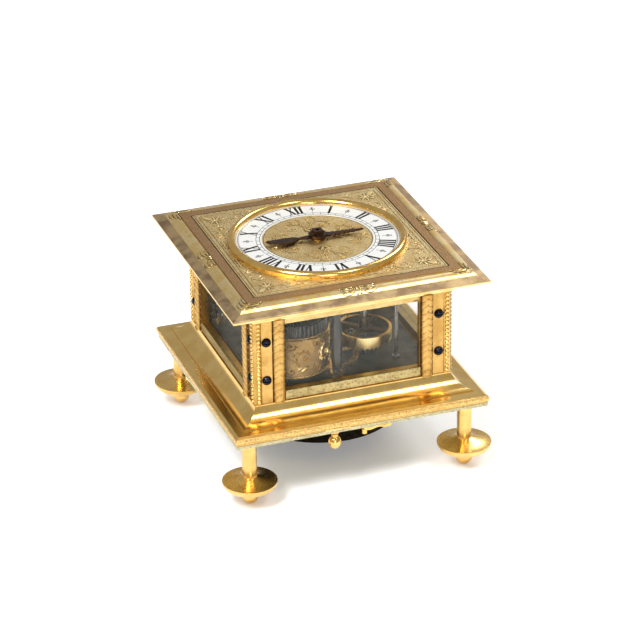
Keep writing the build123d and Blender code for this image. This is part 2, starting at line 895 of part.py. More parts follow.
# Movement plates and pillars
escape_axis_z = (
    plate_floor + contrate_rim_bottom - (dedendum + addendum) * train_module
    + addendum * train_module - escape_pinion_radius
)
escape_pinion_y = contrate_place[1] + contrate_radius
crown_y = escape_pinion_y + crown_from_pinion
verge_y = crown_y + crown_height + pallet_gap + verge_radius
verge_place = (contrate_place[0], verge_y)
arbor_places = (second_place, contrate_place, hammer_place)
bell_post_place = (0.0, 0.0)


def movement_plate(bottom, bores):
    """A square movement plate with bearing holes."""
    with BuildPart() as plate:
        with BuildSketch(Plane.XY.offset(bottom)):
            Rectangle(2 * plate_half, 2 * plate_half)
            with Locations(*arbor_places):
                Circle(pivot_radius + running_gap, mode=Mode.SUBTRACT)
            with Locations(*pillar_places):
                Circle(pillar_pivot_radius, mode=Mode.SUBTRACT)
            for place, radius in bores:
                with Locations(place):
                    Circle(radius, mode=Mode.SUBTRACT)
        extrude(amount=plate_thickness)
    return plate


bottom_plate = movement_plate(
    plate_low,
    (
        (barrel_place, barrel_arbor_radius + running_gap),
        (verge_place, verge_radius + running_gap),
        (bell_post_place, bell_post_radius),
    ),
)
export(bottom_plate, "bottom_plate")
top_plate = movement_plate(
    plate_ceiling,
    (
        (barrel_place, barrel_pipe_radius + running_gap),
        (verge_place, verge_radius + running_gap),
        ((0.0, 0.0), hand_stud_radius),
    ),
)
export(top_plate, "top_plate")

pillar_middle = (plate_floor + plate_ceiling) / 2
for number, place in enumerate(pillar_places, start=1):
    shaft_radius, belly_radius, flange_radius, flange_height = (
        (post_radius, post_belly_radius, post_foot_radius, post_foot_height)
        if number == post_number
        else (pillar_radius, pillar_belly_radius, pillar_foot_radius, pillar_foot_height)
    )
    foot_top = plate_floor + flange_height
    head_bottom = plate_ceiling - flange_height
    with BuildPart() as pillar:
        with BuildSketch(Plane(origin=(*place, 0), x_dir=(1, 0, 0), z_dir=(0, -1, 0))):
            with BuildLine():
                Polyline(
                    (0, plate_low),
                    (pillar_pivot_radius, plate_low),
                    (pillar_pivot_radius, plate_floor),
                    (flange_radius, plate_floor),
                    (flange_radius, foot_top),
                    (shaft_radius, foot_top),
                )
                ThreePointArc(
                    (shaft_radius, foot_top),
                    (belly_radius, pillar_middle),
                    (shaft_radius, head_bottom),
                )
                Polyline(
                    (shaft_radius, head_bottom),
                    (flange_radius, head_bottom),
                    (flange_radius, plate_ceiling),
                    (pillar_pivot_radius, plate_ceiling),
                    (pillar_pivot_radius, plate_high),
                    (0, plate_high),
                    (0, plate_low),
                )
            make_face()
        revolve(axis=Axis((*place, 0), (0, 0, 1)))
    export(pillar, f"movement_pillar_{number}")

# Barrel with its great wheel and the dial pinion, on the winding arbor
drum_low = plate_floor + drum_bottom
drum_high = drum_low + drum_height
great_low = plate_floor + great_bottom
great_high = great_low + great_thickness
with BuildPart() as barrel_drum:
    with BuildSketch(level(barrel_place, drum_low)):
        Circle(drum_radius)
        Circle(barrel_arbor_radius + running_gap, mode=Mode.SUBTRACT)
    extrude(amount=drum_height)
    with BuildSketch(level(barrel_place, drum_low + drum_wall)):
        Circle(drum_radius - drum_wall)
    extrude(amount=drum_height - 2 * drum_wall, mode=Mode.SUBTRACT)
    with BuildSketch(level(barrel_place, drum_high)):
        Circle(barrel_pipe_radius)
        Circle(barrel_arbor_radius + running_gap, mode=Mode.SUBTRACT)
    extrude(amount=great_high - drum_high)
export(barrel_drum, "barrel_drum")

with BuildPart() as mainspring:
    with BuildSketch(level(barrel_place, drum_low + drum_wall)):
        Circle(drum_radius - drum_wall)
        Circle(spring_hub_radius, mode=Mode.SUBTRACT)
    extrude(amount=drum_height - 2 * drum_wall)
export(mainspring, "mainspring")

great_wheel = wheel(
    barrel_place,
    great_low,
    great_thickness,
    great_teeth,
    great_module,
    bearing(barrel_place, second_place),
    barrel_pipe_radius,
    hub=7.0,
    rim=2.2,
)
export(great_wheel, "great_wheel")

square_bottom = plate_low - 3.0 - winding_square_length
arbor_top = plate_high + hour_wheel_rise + 3.0
with BuildPart() as barrel_arbor:
    with BuildSketch(level(barrel_place, plate_low - 3.0)):
        Circle(barrel_arbor_radius)
    extrude(amount=arbor_top - plate_low + 3.0)
    with BuildSketch(level(barrel_place, square_bottom)):
        Rectangle(winding_square, winding_square)
    extrude(amount=winding_square_length)
export(barrel_arbor, "barrel_arbor")

ratchet_low = plate_low - layer_gap - ratchet_thickness
with BuildPart() as ratchet_wheel:
    with BuildSketch(level(barrel_place, ratchet_low)):
        with BuildLine():
            points = []
            for number in range(ratchet_teeth):
                start = 2 * math.pi * number / ratchet_teeth
                points.append((ratchet_radius * math.cos(start), ratchet_radius * math.sin(start)))
                inner = ratchet_radius - ratchet_depth
                end = start + 0.08 * 2 * math.pi / ratchet_teeth
                points.append((inner * math.cos(end), inner * math.sin(end)))
            Polyline(*points, points[0])
        make_face()
        Circle(barrel_arbor_radius, mode=Mode.SUBTRACT)
    extrude(amount=ratchet_thickness)
export(ratchet_wheel, "ratchet_wheel")

hour_low = plate_high + hour_wheel_rise
hour_high = hour_low + hour_wheel_thickness
with BuildPart() as dial_pinion:
    with BuildSketch(level(barrel_place, great_high)):
        Circle(barrel_pipe_radius)
        Circle(barrel_arbor_radius + running_gap, mode=Mode.SUBTRACT)
    extrude(amount=hour_high + layer_gap - great_high)
    with BuildSketch(level(barrel_place, hour_low - layer_gap)):
        with BuildLine():
            gear_outline(dial_pinion_teeth, dial_module, bearing(barrel_place, (0, 0)))
        make_face()
        Circle(barrel_arbor_radius + running_gap, mode=Mode.SUBTRACT)
    extrude(amount=hour_wheel_thickness + 2 * layer_gap)
export(dial_pinion, "dial_pinion")

# Second arbor, driven by the great wheel, and its wheel
second_arbor = pinion_arbor(
    second_place,
    plate_floor,
    plate_ceiling,
    second_pinion_teeth,
    great_module,
    bearing(second_place, barrel_place) + 180 / second_pinion_teeth,
    great_low,
    great_high + layer_gap,
)
export(second_arbor, "second_arbor")
second_wheel = wheel(
    second_place,
    first_layer,
    wheel_thickness,
    second_teeth,
    train_module,
    bearing(second_place, contrate_place),
    arbor_radius,
)
export(second_wheel, "second_wheel")

# Contrate arbor and wheel, its teeth pointing down
contrate_arbor = pinion_arbor(
    contrate_place,
    plate_floor,
    plate_ceiling,
    small_pinion_teeth,
    train_module,
    bearing(contrate_place, second_place) + 180 / small_pinion_teeth,
    first_layer - layer_gap / 2,
    first_layer + wheel_thickness + layer_gap / 2,
)
export(contrate_arbor, "contrate_arbor")

rim_low = plate_floor + contrate_rim_bottom
rim_high = rim_low + contrate_rim_height
tooth_low = rim_low - (dedendum + addendum) * train_module
rim_outer = contrate_radius + contrate_tooth_width / 2
with BuildPart() as contrate_tooth:
    with BuildSketch(
        Plane(origin=(0, 0, 0), x_dir=(0, 1, 0), z_dir=(1, 0, 0)).offset(
            contrate_radius - contrate_tooth_width / 2
        )
    ):
        pitch_z = tooth_low + addendum * train_module
        half_pitch = (math.pi * train_module / 2 - contrate_tooth_thinning) / 2
        slope = math.tan(pressure_angle)
        half_tip = half_pitch - slope * (pitch_z - tooth_low)
        half_root = half_pitch + slope * (rim_low - pitch_z)
        Polygon(
            (-half_tip, tooth_low),
            (half_tip, tooth_low),
            (half_root, rim_low),
            (half_root, rim_low + 0.5),
            (-half_root, rim_low + 0.5),
            (-half_root, rim_low),
            align=None,
        )
    extrude(amount=contrate_tooth_width)
with BuildPart() as contrate_wheel:
    with BuildSketch(level(contrate_place, rim_low)):
        Circle(rim_outer)
        Circle(rim_outer - contrate_tooth_width, mode=Mode.SUBTRACT)
    extrude(amount=contrate_rim_height)
    with BuildSketch(level(contrate_place, rim_high - 1.4)):
        with PolarLocations(0, 4, start_angle=45):
            Rectangle(rim_outer - 0.8, 2.6, align=(Align.MIN, Align.CENTER))
        Circle(contrate_collet_radius + 1.2)
    extrude(amount=1.4)
    with BuildSketch(level(contrate_place, rim_high)):
        Circle(contrate_collet_radius)
    extrude(amount=contrate_collet_height)
    with BuildSketch(level(contrate_place, rim_low - 1)):
        Circle(arbor_radius)
    extrude(amount=contrate_rim_height + contrate_collet_height + 2, mode=Mode.SUBTRACT)
    with Locations((*contrate_place, 0)):
        with PolarLocations(0, contrate_teeth, start_angle=90):
            add(contrate_tooth.part)
export(contrate_wheel, "contrate_wheel")

# Escape arbor, level and pointing back, with its pinion and the crown wheel


def escape_plane(y):
    """A plane across the escape arbor."""
    return Plane(
        origin=(contrate_place[0], y, escape_axis_z), x_dir=(1, 0, 0), z_dir=(0, 1, 0)
    )


pinion_half = contrate_tooth_width / 2 + 0.4
escape_front = escape_pinion_y - pinion_half - 0.6
potence_y = crown_y - potence_gap - cock_depth
with BuildPart() as escape_arbor:
    with BuildSketch(escape_plane(escape_front)):
        Circle(arbor_radius)
    extrude(amount=crown_y + 1.4 - escape_front)
    with BuildSketch(escape_plane(escape_front - 2.0)):
        Circle(pivot_radius)
    extrude(amount=2.0)
    with BuildSketch(escape_plane(escape_pinion_y - pinion_half)):
        with BuildLine():
            gear_outline(escape_pinion_teeth, train_module, -90 + 180 / escape_pinion_teeth)
        make_face()
    extrude(amount=2 * pinion_half)
export(escape_arbor, "escape_arbor")

with BuildPart() as crown_notch:
    with BuildSketch(
        Plane(origin=(0, 0, 0), x_dir=(0, 1, 0), z_dir=(1, 0, 0)).offset(
            crown_radius - 2 * crown_rim_width
        )
    ):
        pitch_length = 2 * math.pi * crown_radius / crown_teeth
        Polygon(
            (-pitch_length * 0.42, crown_height + 0.5),
            (-pitch_length * 0.42, crown_height),
            (pitch_length * 0.30, crown_height - crown_tooth_depth),
            (pitch_length * 0.42, crown_height + 0.5),
            align=None,
        )
    extrude(amount=4 * crown_rim_width)
with BuildPart() as crown_blank:
    with BuildSketch(Plane.XY):
        Circle(crown_radius)
        Circle(crown_radius - crown_rim_width, mode=Mode.SUBTRACT)
    extrude(amount=crown_height)
    with BuildSketch(Plane.XY):
        with PolarLocations(0, 4):
            Rectangle(crown_radius - 0.6, 1.8, align=(Align.MIN, Align.CENTER))
        Circle(2.6)
    extrude(amount=1.0)
    with BuildSketch(Plane.XY):
        Circle(arbor_radius)
    extrude(amount=2.0, mode=Mode.SUBTRACT)
    with PolarLocations(0, crown_teeth):
        add(crown_notch.part, mode=Mode.SUBTRACT)
with BuildPart() as crown_wheel:
    with Locations(escape_plane(crown_y).location):
        add(crown_blank.part)
export(crown_wheel, "crown_wheel")

# Cocks that carry the escape arbor at its front pivot and just before the crown wheel
escape_rise = escape_axis_z - plate_floor


def upright_cock(y, bore):
    """A narrow upright cock on the bottom plate with one bearing hole."""
    with BuildPart() as cock:
        with BuildSketch(escape_plane(y)):
            Circle(cock_width / 2)
            Rectangle(cock_width, escape_rise, align=(Align.CENTER, Align.MIN))
            Circle(bore, mode=Mode.SUBTRACT)
        extrude(amount=cock_depth)
    return cock


front_cock = upright_cock(escape_front - escape_end_gap - cock_depth, pivot_radius + running_gap)
export(front_cock, "escape_front_cock")
potence = upright_cock(potence_y, arbor_radius + running_gap)
export(potence, "potence")

# Verge with two pallets, and the balance above the top plate
balance_low = plate_high + balance_rise
with BuildPart() as verge:
    with BuildSketch(level(verge_place, plate_low)):
        Circle(verge_radius)
    extrude(amount=balance_low + balance_thickness + 1.6 - plate_low)
    for side, facing in ((-1, -45), (1, -135)):
        pallet_z = escape_axis_z + side * (crown_radius - crown_rim_width / 2)
        flag = Plane(
            origin=(*verge_place, pallet_z - pallet_width / 2),
            x_dir=(math.cos(math.radians(facing)), math.sin(math.radians(facing)), 0),
            z_dir=(0, 0, 1),
        )
        with BuildSketch(flag):
            Rectangle(pallet_length, 0.5, align=(Align.MIN, Align.CENTER))
        extrude(amount=pallet_width)
export(verge, "verge")

with BuildPart() as balance:
    with BuildSketch(level(verge_place, balance_low)):
        Circle(balance_radius)
        Circle(balance_radius - balance_rim_width, mode=Mode.SUBTRACT)
        with PolarLocations(0, 3):
            Rectangle(
                balance_radius - balance_rim_width / 2, 1.6, align=(Align.MIN, Align.CENTER)
            )
        Circle(2.4)
        Circle(verge_radius, mode=Mode.SUBTRACT)
    extrude(amount=balance_thickness)
export(balance, "balance_wheel")

cock_foot = (verge_place[0] + balance_radius + 4.5, verge_place[1] + 6.0)
cock_low = balance_low + balance_thickness + 0.6
with BuildPart() as balance_cock:
    with BuildSketch(level(cock_foot, plate_high)):
        Circle(2.6)
    extrude(amount=cock_low + 1.2 - plate_high)
    with BuildSketch(level(verge_place, cock_low)):
        Circle(3.0)
    extrude(amount=1.2)
    arm = Plane(
        origin=(*verge_place, cock_low),
        x_dir=(cock_foot[0] - verge_place[0], cock_foot[1] - verge_place[1], 0),
        z_dir=(0, 0, 1),
    )
    with BuildSketch(arm):
        Rectangle(math.dist(verge_place, cock_foot), 3.2, align=(Align.MIN, Align.CENTER))
    extrude(amount=1.2)
    with BuildSketch(level(verge_place, cock_low - 1)):
        Circle(verge_radius + running_gap)
    extrude(amount=3, mode=Mode.SUBTRACT)
export(balance_cock, "balance_cock")

# Hand stud, hour wheel with its pipe, and the hand
hand_low = lid_top + chapter_thickness + hand_gap
hand_high = hand_low + hand_thickness
pipe_low = hour_low - layer_gap
hand_stud = turned(
    (0, 0),
    (
        (plate_ceiling, plate_high, hand_stud_radius),
        (plate_high, pipe_low - running_gap, hand_stud_shoulder_radius),
        (pipe_low - running_gap, hand_high, hand_stud_radius),
    ),
)
export(hand_stud, "hand_stud")
hour_blank = wheel(
    (0, 0),
    hour_low,
    hour_wheel_thickness,
    hour_teeth,
    dial_module,
    bearing((0, 0), barrel_place) + 180 / hour_teeth,
    hand_pipe_radius,
    hub=6.0,
    rim=4.0,
)
with BuildPart() as hour_wheel:
    add(hour_blank.part)
    with BuildSketch(Plane.XY.offset(pipe_low)):
        Circle(hand_pipe_radius)
        Circle(hand_stud_radius + running_gap, mode=Mode.SUBTRACT)
    extrude(amount=hand_high + hand_boss_height - pipe_low)
export(hour_wheel, "hour_wheel")

with BuildPart() as hand:
    with BuildSketch(Plane.XY.offset(hand_low)):
        Circle(hand_boss_radius * 0.93)
        with BuildLine():
            edge = [(0.0, 1.5)]
            steps = 6
            for number in range(steps):
                start = hand_boss_radius + (hand_reach - 5 - hand_boss_radius) * number / steps
                width = 2.1 - 1.0 * number / steps
                edge.append((start, width * 0.62))
                edge.append((start + 1.0, width))
                edge.append((start + 2.1, width * 0.8))
            edge.append((hand_reach - 5, 0.9))
            Polyline(*edge, (hand_reach, 0), *[(x, -y) for x, y in reversed(edge)], edge[0])
        make_face()
        with BuildLine():
            Polyline((0, 1.3), (0, -1.3), (-hand_boss_radius - 1.5, -1.5), (-9.5, -0.55))
            Spline((-9.5, -0.55), (-13.0, -2.6), (-18.0, -3.4), (-22.0, -1.4))
            Spline((-22.0, -1.4), (-24.4, 0.2), (-hand_tail_reach, 2.2))
            Spline((-hand_tail_reach, 2.2), (-23.0, 2.4), (-19.4, 2.3), (-14.0, 2.4), (-9.5, 0.55))
            Polyline((-9.5, 0.55), (-hand_boss_radius - 1.5, 1.5), (0, 1.3))
        make_face()
        Circle(hand_pipe_radius, mode=Mode.SUBTRACT)
    extrude(amount=hand_thickness)
export(hand, "hour_hand")

with BuildPart() as hand_collet:
    with BuildSketch(Plane.XY.offset(hand_high)):
        Circle(hand_boss_radius)
        Circle(hand_pipe_radius, mode=Mode.SUBTRACT)
    extrude(amount=hand_boss_height)
    with BuildSketch(Plane.XY.offset(hand_high + hand_boss_height)):
        Rectangle(hand_knob_width, hand_knob_width)
        Rectangle(hand_square_width, hand_square_width, mode=Mode.SUBTRACT)
    extrude(amount=hand_knob_height)
export(hand_collet, "hand_collet")

# Bell, open downwards, on a post under the bottom plate
with BuildPart() as bell:
    with BuildSketch(Plane.XZ):
        with BuildLine():
            Line((0, bell_crown_height), (bell_nut_radius + 1, bell_crown_height))
            ThreePointArc(
                (bell_nut_radius + 1, bell_crown_height),
                (bell_crown_radius * 0.8, bell_crown_height - bell_crown_drop),
                bell_haunch,
            )
            ThreePointArc(
                bell_haunch,
                bell_waist,
                (bell_mouth_radius, bell_mouth_height),
            )
            Line(
                (bell_mouth_radius, bell_mouth_height),
                (bell_mouth_radius - bell_rim_width, bell_mouth_height),
            )
            ThreePointArc(
                (bell_mouth_radius - bell_rim_width, bell_mouth_height),
                (bell_waist[0] - bell_wall, bell_waist[1] - bell_waist_thinning),
                (bell_haunch[0] - bell_wall, bell_haunch[1] - bell_wall),
            )
            ThreePointArc(
                (bell_haunch[0] - bell_wall, bell_haunch[1] - bell_wall),
                (bell_crown_radius * 0.66, bell_crown_height - 1.2 - bell_wall),
                (bell_nut_radius + 1, bell_crown_height - bell_wall),
            )
            Line(
                (bell_nut_radius + 1, bell_crown_height - bell_wall),
                (0, bell_crown_height - bell_wall),
            )
            Line((0, bell_crown_height - bell_wall), (0, bell_crown_height))
        make_face()
    revolve(axis=Axis.Z)
    with BuildSketch(Plane.XY.offset(bell_crown_height + 1)):
        Circle(bell_post_radius)
    extrude(amount=-6, mode=Mode.SUBTRACT)
export(bell, "bell")
bell_post = turned(
    (0, 0),
    (
        (bell_crown_height - bell_wall - bell_nut_height, plate_floor, bell_post_radius),
        (bell_crown_height, plate_low, bell_nut_radius),
    ),
)
export(bell_post, "bell_post")
with BuildPart() as bell_nut:
    with BuildSketch(Plane.XY.offset(bell_crown_height - bell_wall)):
        RegularPolygon(bell_nut_radius, 4)
        Circle(bell_post_radius, mode=Mode.SUBTRACT)
    extrude(amount=-bell_nut_height)
export(bell_nut, "bell_nut")

# Hammer, an arm on an upright arbor that meets the bell's shoulder squarely
strike_radius = bell_shoulder[0] - 1.0 + hammer_gap + hammer_head_radius
hammer_reach = math.hypot(*hammer_place)
swing = math.degrees(math.acos(strike_radius / hammer_reach))
head_place = polar((0, 0), strike_radius, bearing((0, 0), hammer_place) + swing)
with BuildPart() as hammer:
    arm_plane = Plane(
        origin=(*hammer_place, hammer_level),
        x_dir=(head_place[0] - hammer_place[0], head_place[1] - hammer_place[1], 0),
        z_dir=(0, 0, 1),
    )
    with BuildSketch(arm_plane):
        Rectangle(
            math.dist(hammer_place, head_place), hammer_arm_width, align=(Align.MIN, Align.CENTER)
        )
        Circle(2.2)
        with Locations((math.dist(hammer_place, head_place), 0)):
            Circle(hammer_head_radius)
    extrude(amount=hammer_thickness)
    with BuildSketch(level(hammer_place, hammer_level)):
        Circle(pivot_radius)
    extrude(amount=plate_high - hammer_level)
    with BuildSketch(level(hammer_place, plate_floor)):
        Circle(arbor_radius)
    extrude(amount=plate_spacing)
export(hammer, "hammer")
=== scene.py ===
# %% [markdown]
# # A horizontal table clock
# The clock's solids arrive as a fixed frame, at their real size in metres. This lesson gives
# each of them its finish, and adds what a chaser or an engraver would add by hand: numerals,
# pearls, leaf strips and foliage. Every added piece is a surface worked out on a grid.

import bpy
import numpy as np
from mathutils import Matrix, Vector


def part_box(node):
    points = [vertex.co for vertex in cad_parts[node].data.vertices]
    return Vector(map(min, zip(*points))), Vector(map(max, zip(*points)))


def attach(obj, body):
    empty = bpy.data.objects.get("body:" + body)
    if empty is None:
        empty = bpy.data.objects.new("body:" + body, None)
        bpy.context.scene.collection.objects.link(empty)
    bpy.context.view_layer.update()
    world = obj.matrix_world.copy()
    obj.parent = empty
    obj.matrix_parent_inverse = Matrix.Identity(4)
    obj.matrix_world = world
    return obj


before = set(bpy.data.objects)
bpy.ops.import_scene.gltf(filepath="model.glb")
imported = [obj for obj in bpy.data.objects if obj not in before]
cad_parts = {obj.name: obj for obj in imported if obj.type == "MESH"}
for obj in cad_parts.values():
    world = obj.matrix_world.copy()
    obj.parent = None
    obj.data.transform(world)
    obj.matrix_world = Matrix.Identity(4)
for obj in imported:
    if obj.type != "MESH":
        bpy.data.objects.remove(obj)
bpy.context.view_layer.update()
MM = 0.001
print("nodes in the frame:", len(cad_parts))

# %% [markdown]
# ## The camera
# The photograph was taken from the front left and above, with a long lens, so the sides stay
# nearly parallel. The camera's three axes come from an azimuth, an elevation and a small roll.

# %% Camera
AZIMUTH = np.radians(-19.35)
ELEVATION = np.radians(26.60)
ROLL = np.radians(-0.67)
DISTANCE = 1595.4 * MM
LENS_PIXELS = 3200.0
FRAME_PIXELS = 640.0
SENSOR_WIDTH = 36.0
AIM = np.array((0.0, 0.0, 50.0)) * MM
SHIFT_RIGHT = 0.56 * MM
SHIFT_UP = 11.30 * MM

back = np.array((
    np.sin(AZIMUTH) * np.cos(ELEVATION),
    -np.cos(AZIMUTH) * np.cos(ELEVATION),
    np.sin(ELEVATION),
))
level_right = np.cross(-back, (0.0, 0.0, 1.0))
level_right /= np.linalg.norm(level_right)
level_up = np.cross(level_right, -back)
right = np.cos(ROLL) * level_right + np.sin(ROLL) * level_up
up = np.cos(ROLL) * level_up - np.sin(ROLL) * level_right
eye = AIM + SHIFT_RIGHT * right + SHIFT_UP * up + DISTANCE * back

camera_data = bpy.data.cameras.new("camera")
camera_data.sensor_fit = "HORIZONTAL"
camera_data.sensor_width = SENSOR_WIDTH
camera_data.lens = SENSOR_WIDTH * LENS_PIXELS / FRAME_PIXELS
camera_data.clip_end = 20.0
camera = bpy.data.objects.new("camera", camera_data)
bpy.context.collection.objects.link(camera)
pose = np.eye(4)
pose[:3, 0], pose[:3, 1], pose[:3, 2], pose[:3, 3] = right, up, back, eye
camera.matrix_world = Matrix(pose.tolist())
bpy.context.scene.camera = camera
bpy.context.scene.view_settings.view_transform = "Standard"


def pixel(point):
    """Where a point in millimetres lands in the 640 pixel frame."""
    ray = np.asarray(point) * MM - eye
    depth = ray @ -back
    return (
        round(FRAME_PIXELS / 2 + LENS_PIXELS * (ray @ right) / depth, 1),
        round(FRAME_PIXELS / 2 - LENS_PIXELS * (ray @ up) / depth, 1),
    )


print("lid front corner lands at", pixel((-65, -65, 102)), "and the floor centre at", pixel((0, 0, 0)))

# %% [markdown]
# ## Shader maths as Python
# A material is a small program. Wrapping a number socket in a class that knows +, -, * and /
# lets the program be written as an expression. Each operator adds one Math node.

# %% Sockets with arithmetic


class Number:
    """A number socket of one material."""

    def __init__(self, recipe, socket):
        self.recipe = recipe
        self.socket = socket

    def math(self, operation, *others):
        """The result of one Math node that reads this number first."""
        settings = {"operation": operation}
        values = dict(enumerate((self, *others)))
        return self.recipe.node("ShaderNodeMath", settings, values)

    def __add__(self, other):
        return self.math("ADD", other)

    def __sub__(self, other):
        return self.math("SUBTRACT", other)

    def __rsub__(self, other):
        return (self * -1.0).math("ADD", other)

    def __mul__(self, other):
        return self.math("MULTIPLY", other)

    def __truediv__(self, other):
        return self.math("DIVIDE", other)

    def __abs__(self):
        return self.math("ABSOLUTE")

    __radd__ = __add__
    __rmul__ = __mul__

    def larger(self, other):
        """The larger of two numbers."""
        return self.math("MAXIMUM", other)

    def rise(self, low, high):
        """A smooth step from 0 at low to 1 at high."""
        settings = {"interpolation_type": "SMOOTHSTEP"}
        values = {"Value": self, "From Min": low, "From Max": high}
        return self.recipe.node("ShaderNodeMapRange", settings, values)

    def within(self, low, high, edge):
        """1 between low and high, falling to 0 over an edge."""
        return self.rise(low - edge, low + edge) * (1.0 - self.rise(high - edge, high + edge))


class Recipe:
    """A material with one Principled shader, and the calls that feed it."""

    def __init__(self, name, metallic=1.0, **fixed):
        self.material = bpy.data.materials.new(name)
        self.material.use_nodes = True
        self.tree = self.material.node_tree
        self.tree.nodes.clear()
        self.shader = self.tree.nodes.new("ShaderNodeBsdfPrincipled")
        output = self.tree.nodes.new("ShaderNodeOutputMaterial")
        self.tree.links.new(self.shader.outputs["BSDF"], output.inputs["Surface"])
        self.shader.inputs["Metallic"].default_value = metallic
        for key, value in fixed.items():
            self.shader.inputs[key.replace("_", " ")].default_value = value
        self.place = self.node("ShaderNodeTexCoord", output="Object")

    def node(self, kind, settings=None, values=None, output=0):
        """Add a node, apply its settings, then fill its sockets with values or links."""
        made = self.tree.nodes.new(kind)
        for key, value in (settings or {}).items():
            setattr(made, key, value)
        for key, value in (values or {}).items():
            if isinstance(value, Number):
                self.tree.links.new(value.socket, made.inputs[key])
            else:
                made.inputs[key].default_value = value
        return Number(self, made.outputs[output])

    def axes(self):
        """Object coordinates as three numbers in millimetres."""
        split = self.tree.nodes.new("ShaderNodeSeparateXYZ")
        self.tree.links.new(self.place.socket, split.inputs[0])
        return [Number(self, split.outputs[k]) * 1000.0 for k in range(3)]

    def noise(self, size, detail=3.0, stretch=(1.0, 1.0, 1.0)):
        """Soft noise whose lumps are about size millimetres."""
        mapped = self.node(
            "ShaderNodeMapping", None, {"Vector": self.place, "Scale": stretch}
        )
        values = {"Vector": mapped, "Scale": 1000.0 / size, "Detail": detail, "Roughness": 0.6}
        return self.node("ShaderNodeTexNoise", None, values, "Fac")

    def dots(self, size):
        """Distance from scattered punch marks about size millimetres apart."""
        values = {"Vector": self.place, "Scale": 1000.0 / size}
        return self.node("ShaderNodeTexVoronoi", None, values, "Distance")

    def blend(self, factor, first, second):
        """A colour between two colours."""
        made = self.tree.nodes.new("ShaderNodeMix")
        made.data_type = "RGBA"
        for socket, value in ((made.inputs[0], factor), (made.inputs[6], first), (made.inputs[7], second)):
            if isinstance(value, Number):
                self.tree.links.new(value.socket, socket)
            else:
                socket.default_value = value if isinstance(value, float) else (*value, 1.0)
        return Number(self, made.outputs[2])

    def feed(self, name, value):
        """Link a value that changes over the surface into the shader."""
        self.tree.links.new(value.socket, self.shader.inputs[name])

    def bump(self, height, depth):
        """Turn a 0 to 1 height into a normal, for relief of depth millimetres."""
        values = {"Height": height, "Distance": depth * MM, "Strength": 1.0}
        self.feed("Normal", self.node("ShaderNodeBump", None, values))


def square_distance(recipe):
    """Distance from the upright axis measured square to the sides: the larger of |x| and |y|."""
    x, y, _ = recipe.axes()
    return abs(x).larger(abs(y))


def round_distance(recipe, middle=(0.0, 0.0)):
    """Distance from an upright axis: the root of the sum of the two offsets squared."""
    x, y, _ = recipe.axes()
    east, north = x - middle[0], y - middle[1]
    return (east * east + north * north).math("SQRT")


print("calls that a recipe knows:", [name for name in vars(Recipe) if name[0] != "_"])


# %% [markdown]
# ## Gilt brass
# Mercury gilding is warm and uneven: bright where hands have rubbed it, brown where the gold
# is thin. One function mixes three tones by large and small noise, breaks up the gloss, and
# adds fine scratches. The finishes differ in tone, in roughness and in their punched ground.

# %% Metals


def gilt(name, bright, deep, thin, rough, ground=0.0, ground_size=0.55, grain=0.02, crest=None):
    """Gilding of three tones; ground is the depth in millimetres of punched marks. crest is a
    function of the recipe that gives 0 in the hollows of a relief, which get painted shade, and 1 on top."""
    recipe = Recipe(name)
    cloud = recipe.noise(9.0, 4.0)
    speck = recipe.noise(0.9, 5.0)
    base = recipe.blend(cloud.rise(0.35, 0.68), bright, deep)
    worn = (speck * 0.6 + recipe.noise(4.0, 6.0) * 0.4).rise(0.56, 0.72)
    colour = recipe.blend(worn, base, thin)
    height = recipe.noise(0.35, 3.0) * grain
    if ground:
        mark = recipe.dots(ground_size).rise(0.05, 0.6)
        colour = recipe.blend((1.0 - mark) * 0.75, colour, thin)
        height = height + mark * ground
    # painted shade: where crest is low the gilt is darkened towards HOLLOW, so the hollows of a relief look
    # shaded
    if crest:
        colour = recipe.blend(crest(recipe), HOLLOW, colour)
    recipe.feed("Base Color", colour)
    recipe.feed("Roughness", rough + speck * 0.16 + worn * 0.14)
    recipe.bump(height, 1.0)
    return recipe.material


GOLD = (0.84, 0.56, 0.18)
GOLD_DEEP = (0.60, 0.34, 0.08)
GOLD_PALE = (0.90, 0.71, 0.36)
GOLD_WARM = (0.86, 0.63, 0.27)
GOLD_BROWN = (0.27, 0.14, 0.045)
GOLD_OLIVE = (0.40, 0.30, 0.10)
# HOLLOW is a near-black brown: in the low parts of a relief it is painted shade; in the lid's seams, the
# dial's cut lines and the drum's thin gilding it is the metal's own dark
HOLLOW = (0.07, 0.035, 0.012)


def level_crest(low, high):
    """Painted shade: brightens with height above a level plate, so the low parts of a relief are darker."""
    return lambda recipe: recipe.axes()[2].rise(low, high)


def square_crest(low, high):
    """Painted shade: brightens with distance out from the sides of the body, so the parts of a relief near
    the body are darker.
    """
    return lambda recipe: square_distance(recipe).rise(low, high)


def drum_crest(middle, low, high):
    """Painted shade: brightens with distance out from an upright drum, so the parts of a relief near the
    drum are darker.
    """
    return lambda recipe: round_distance(recipe, middle).rise(low, high)


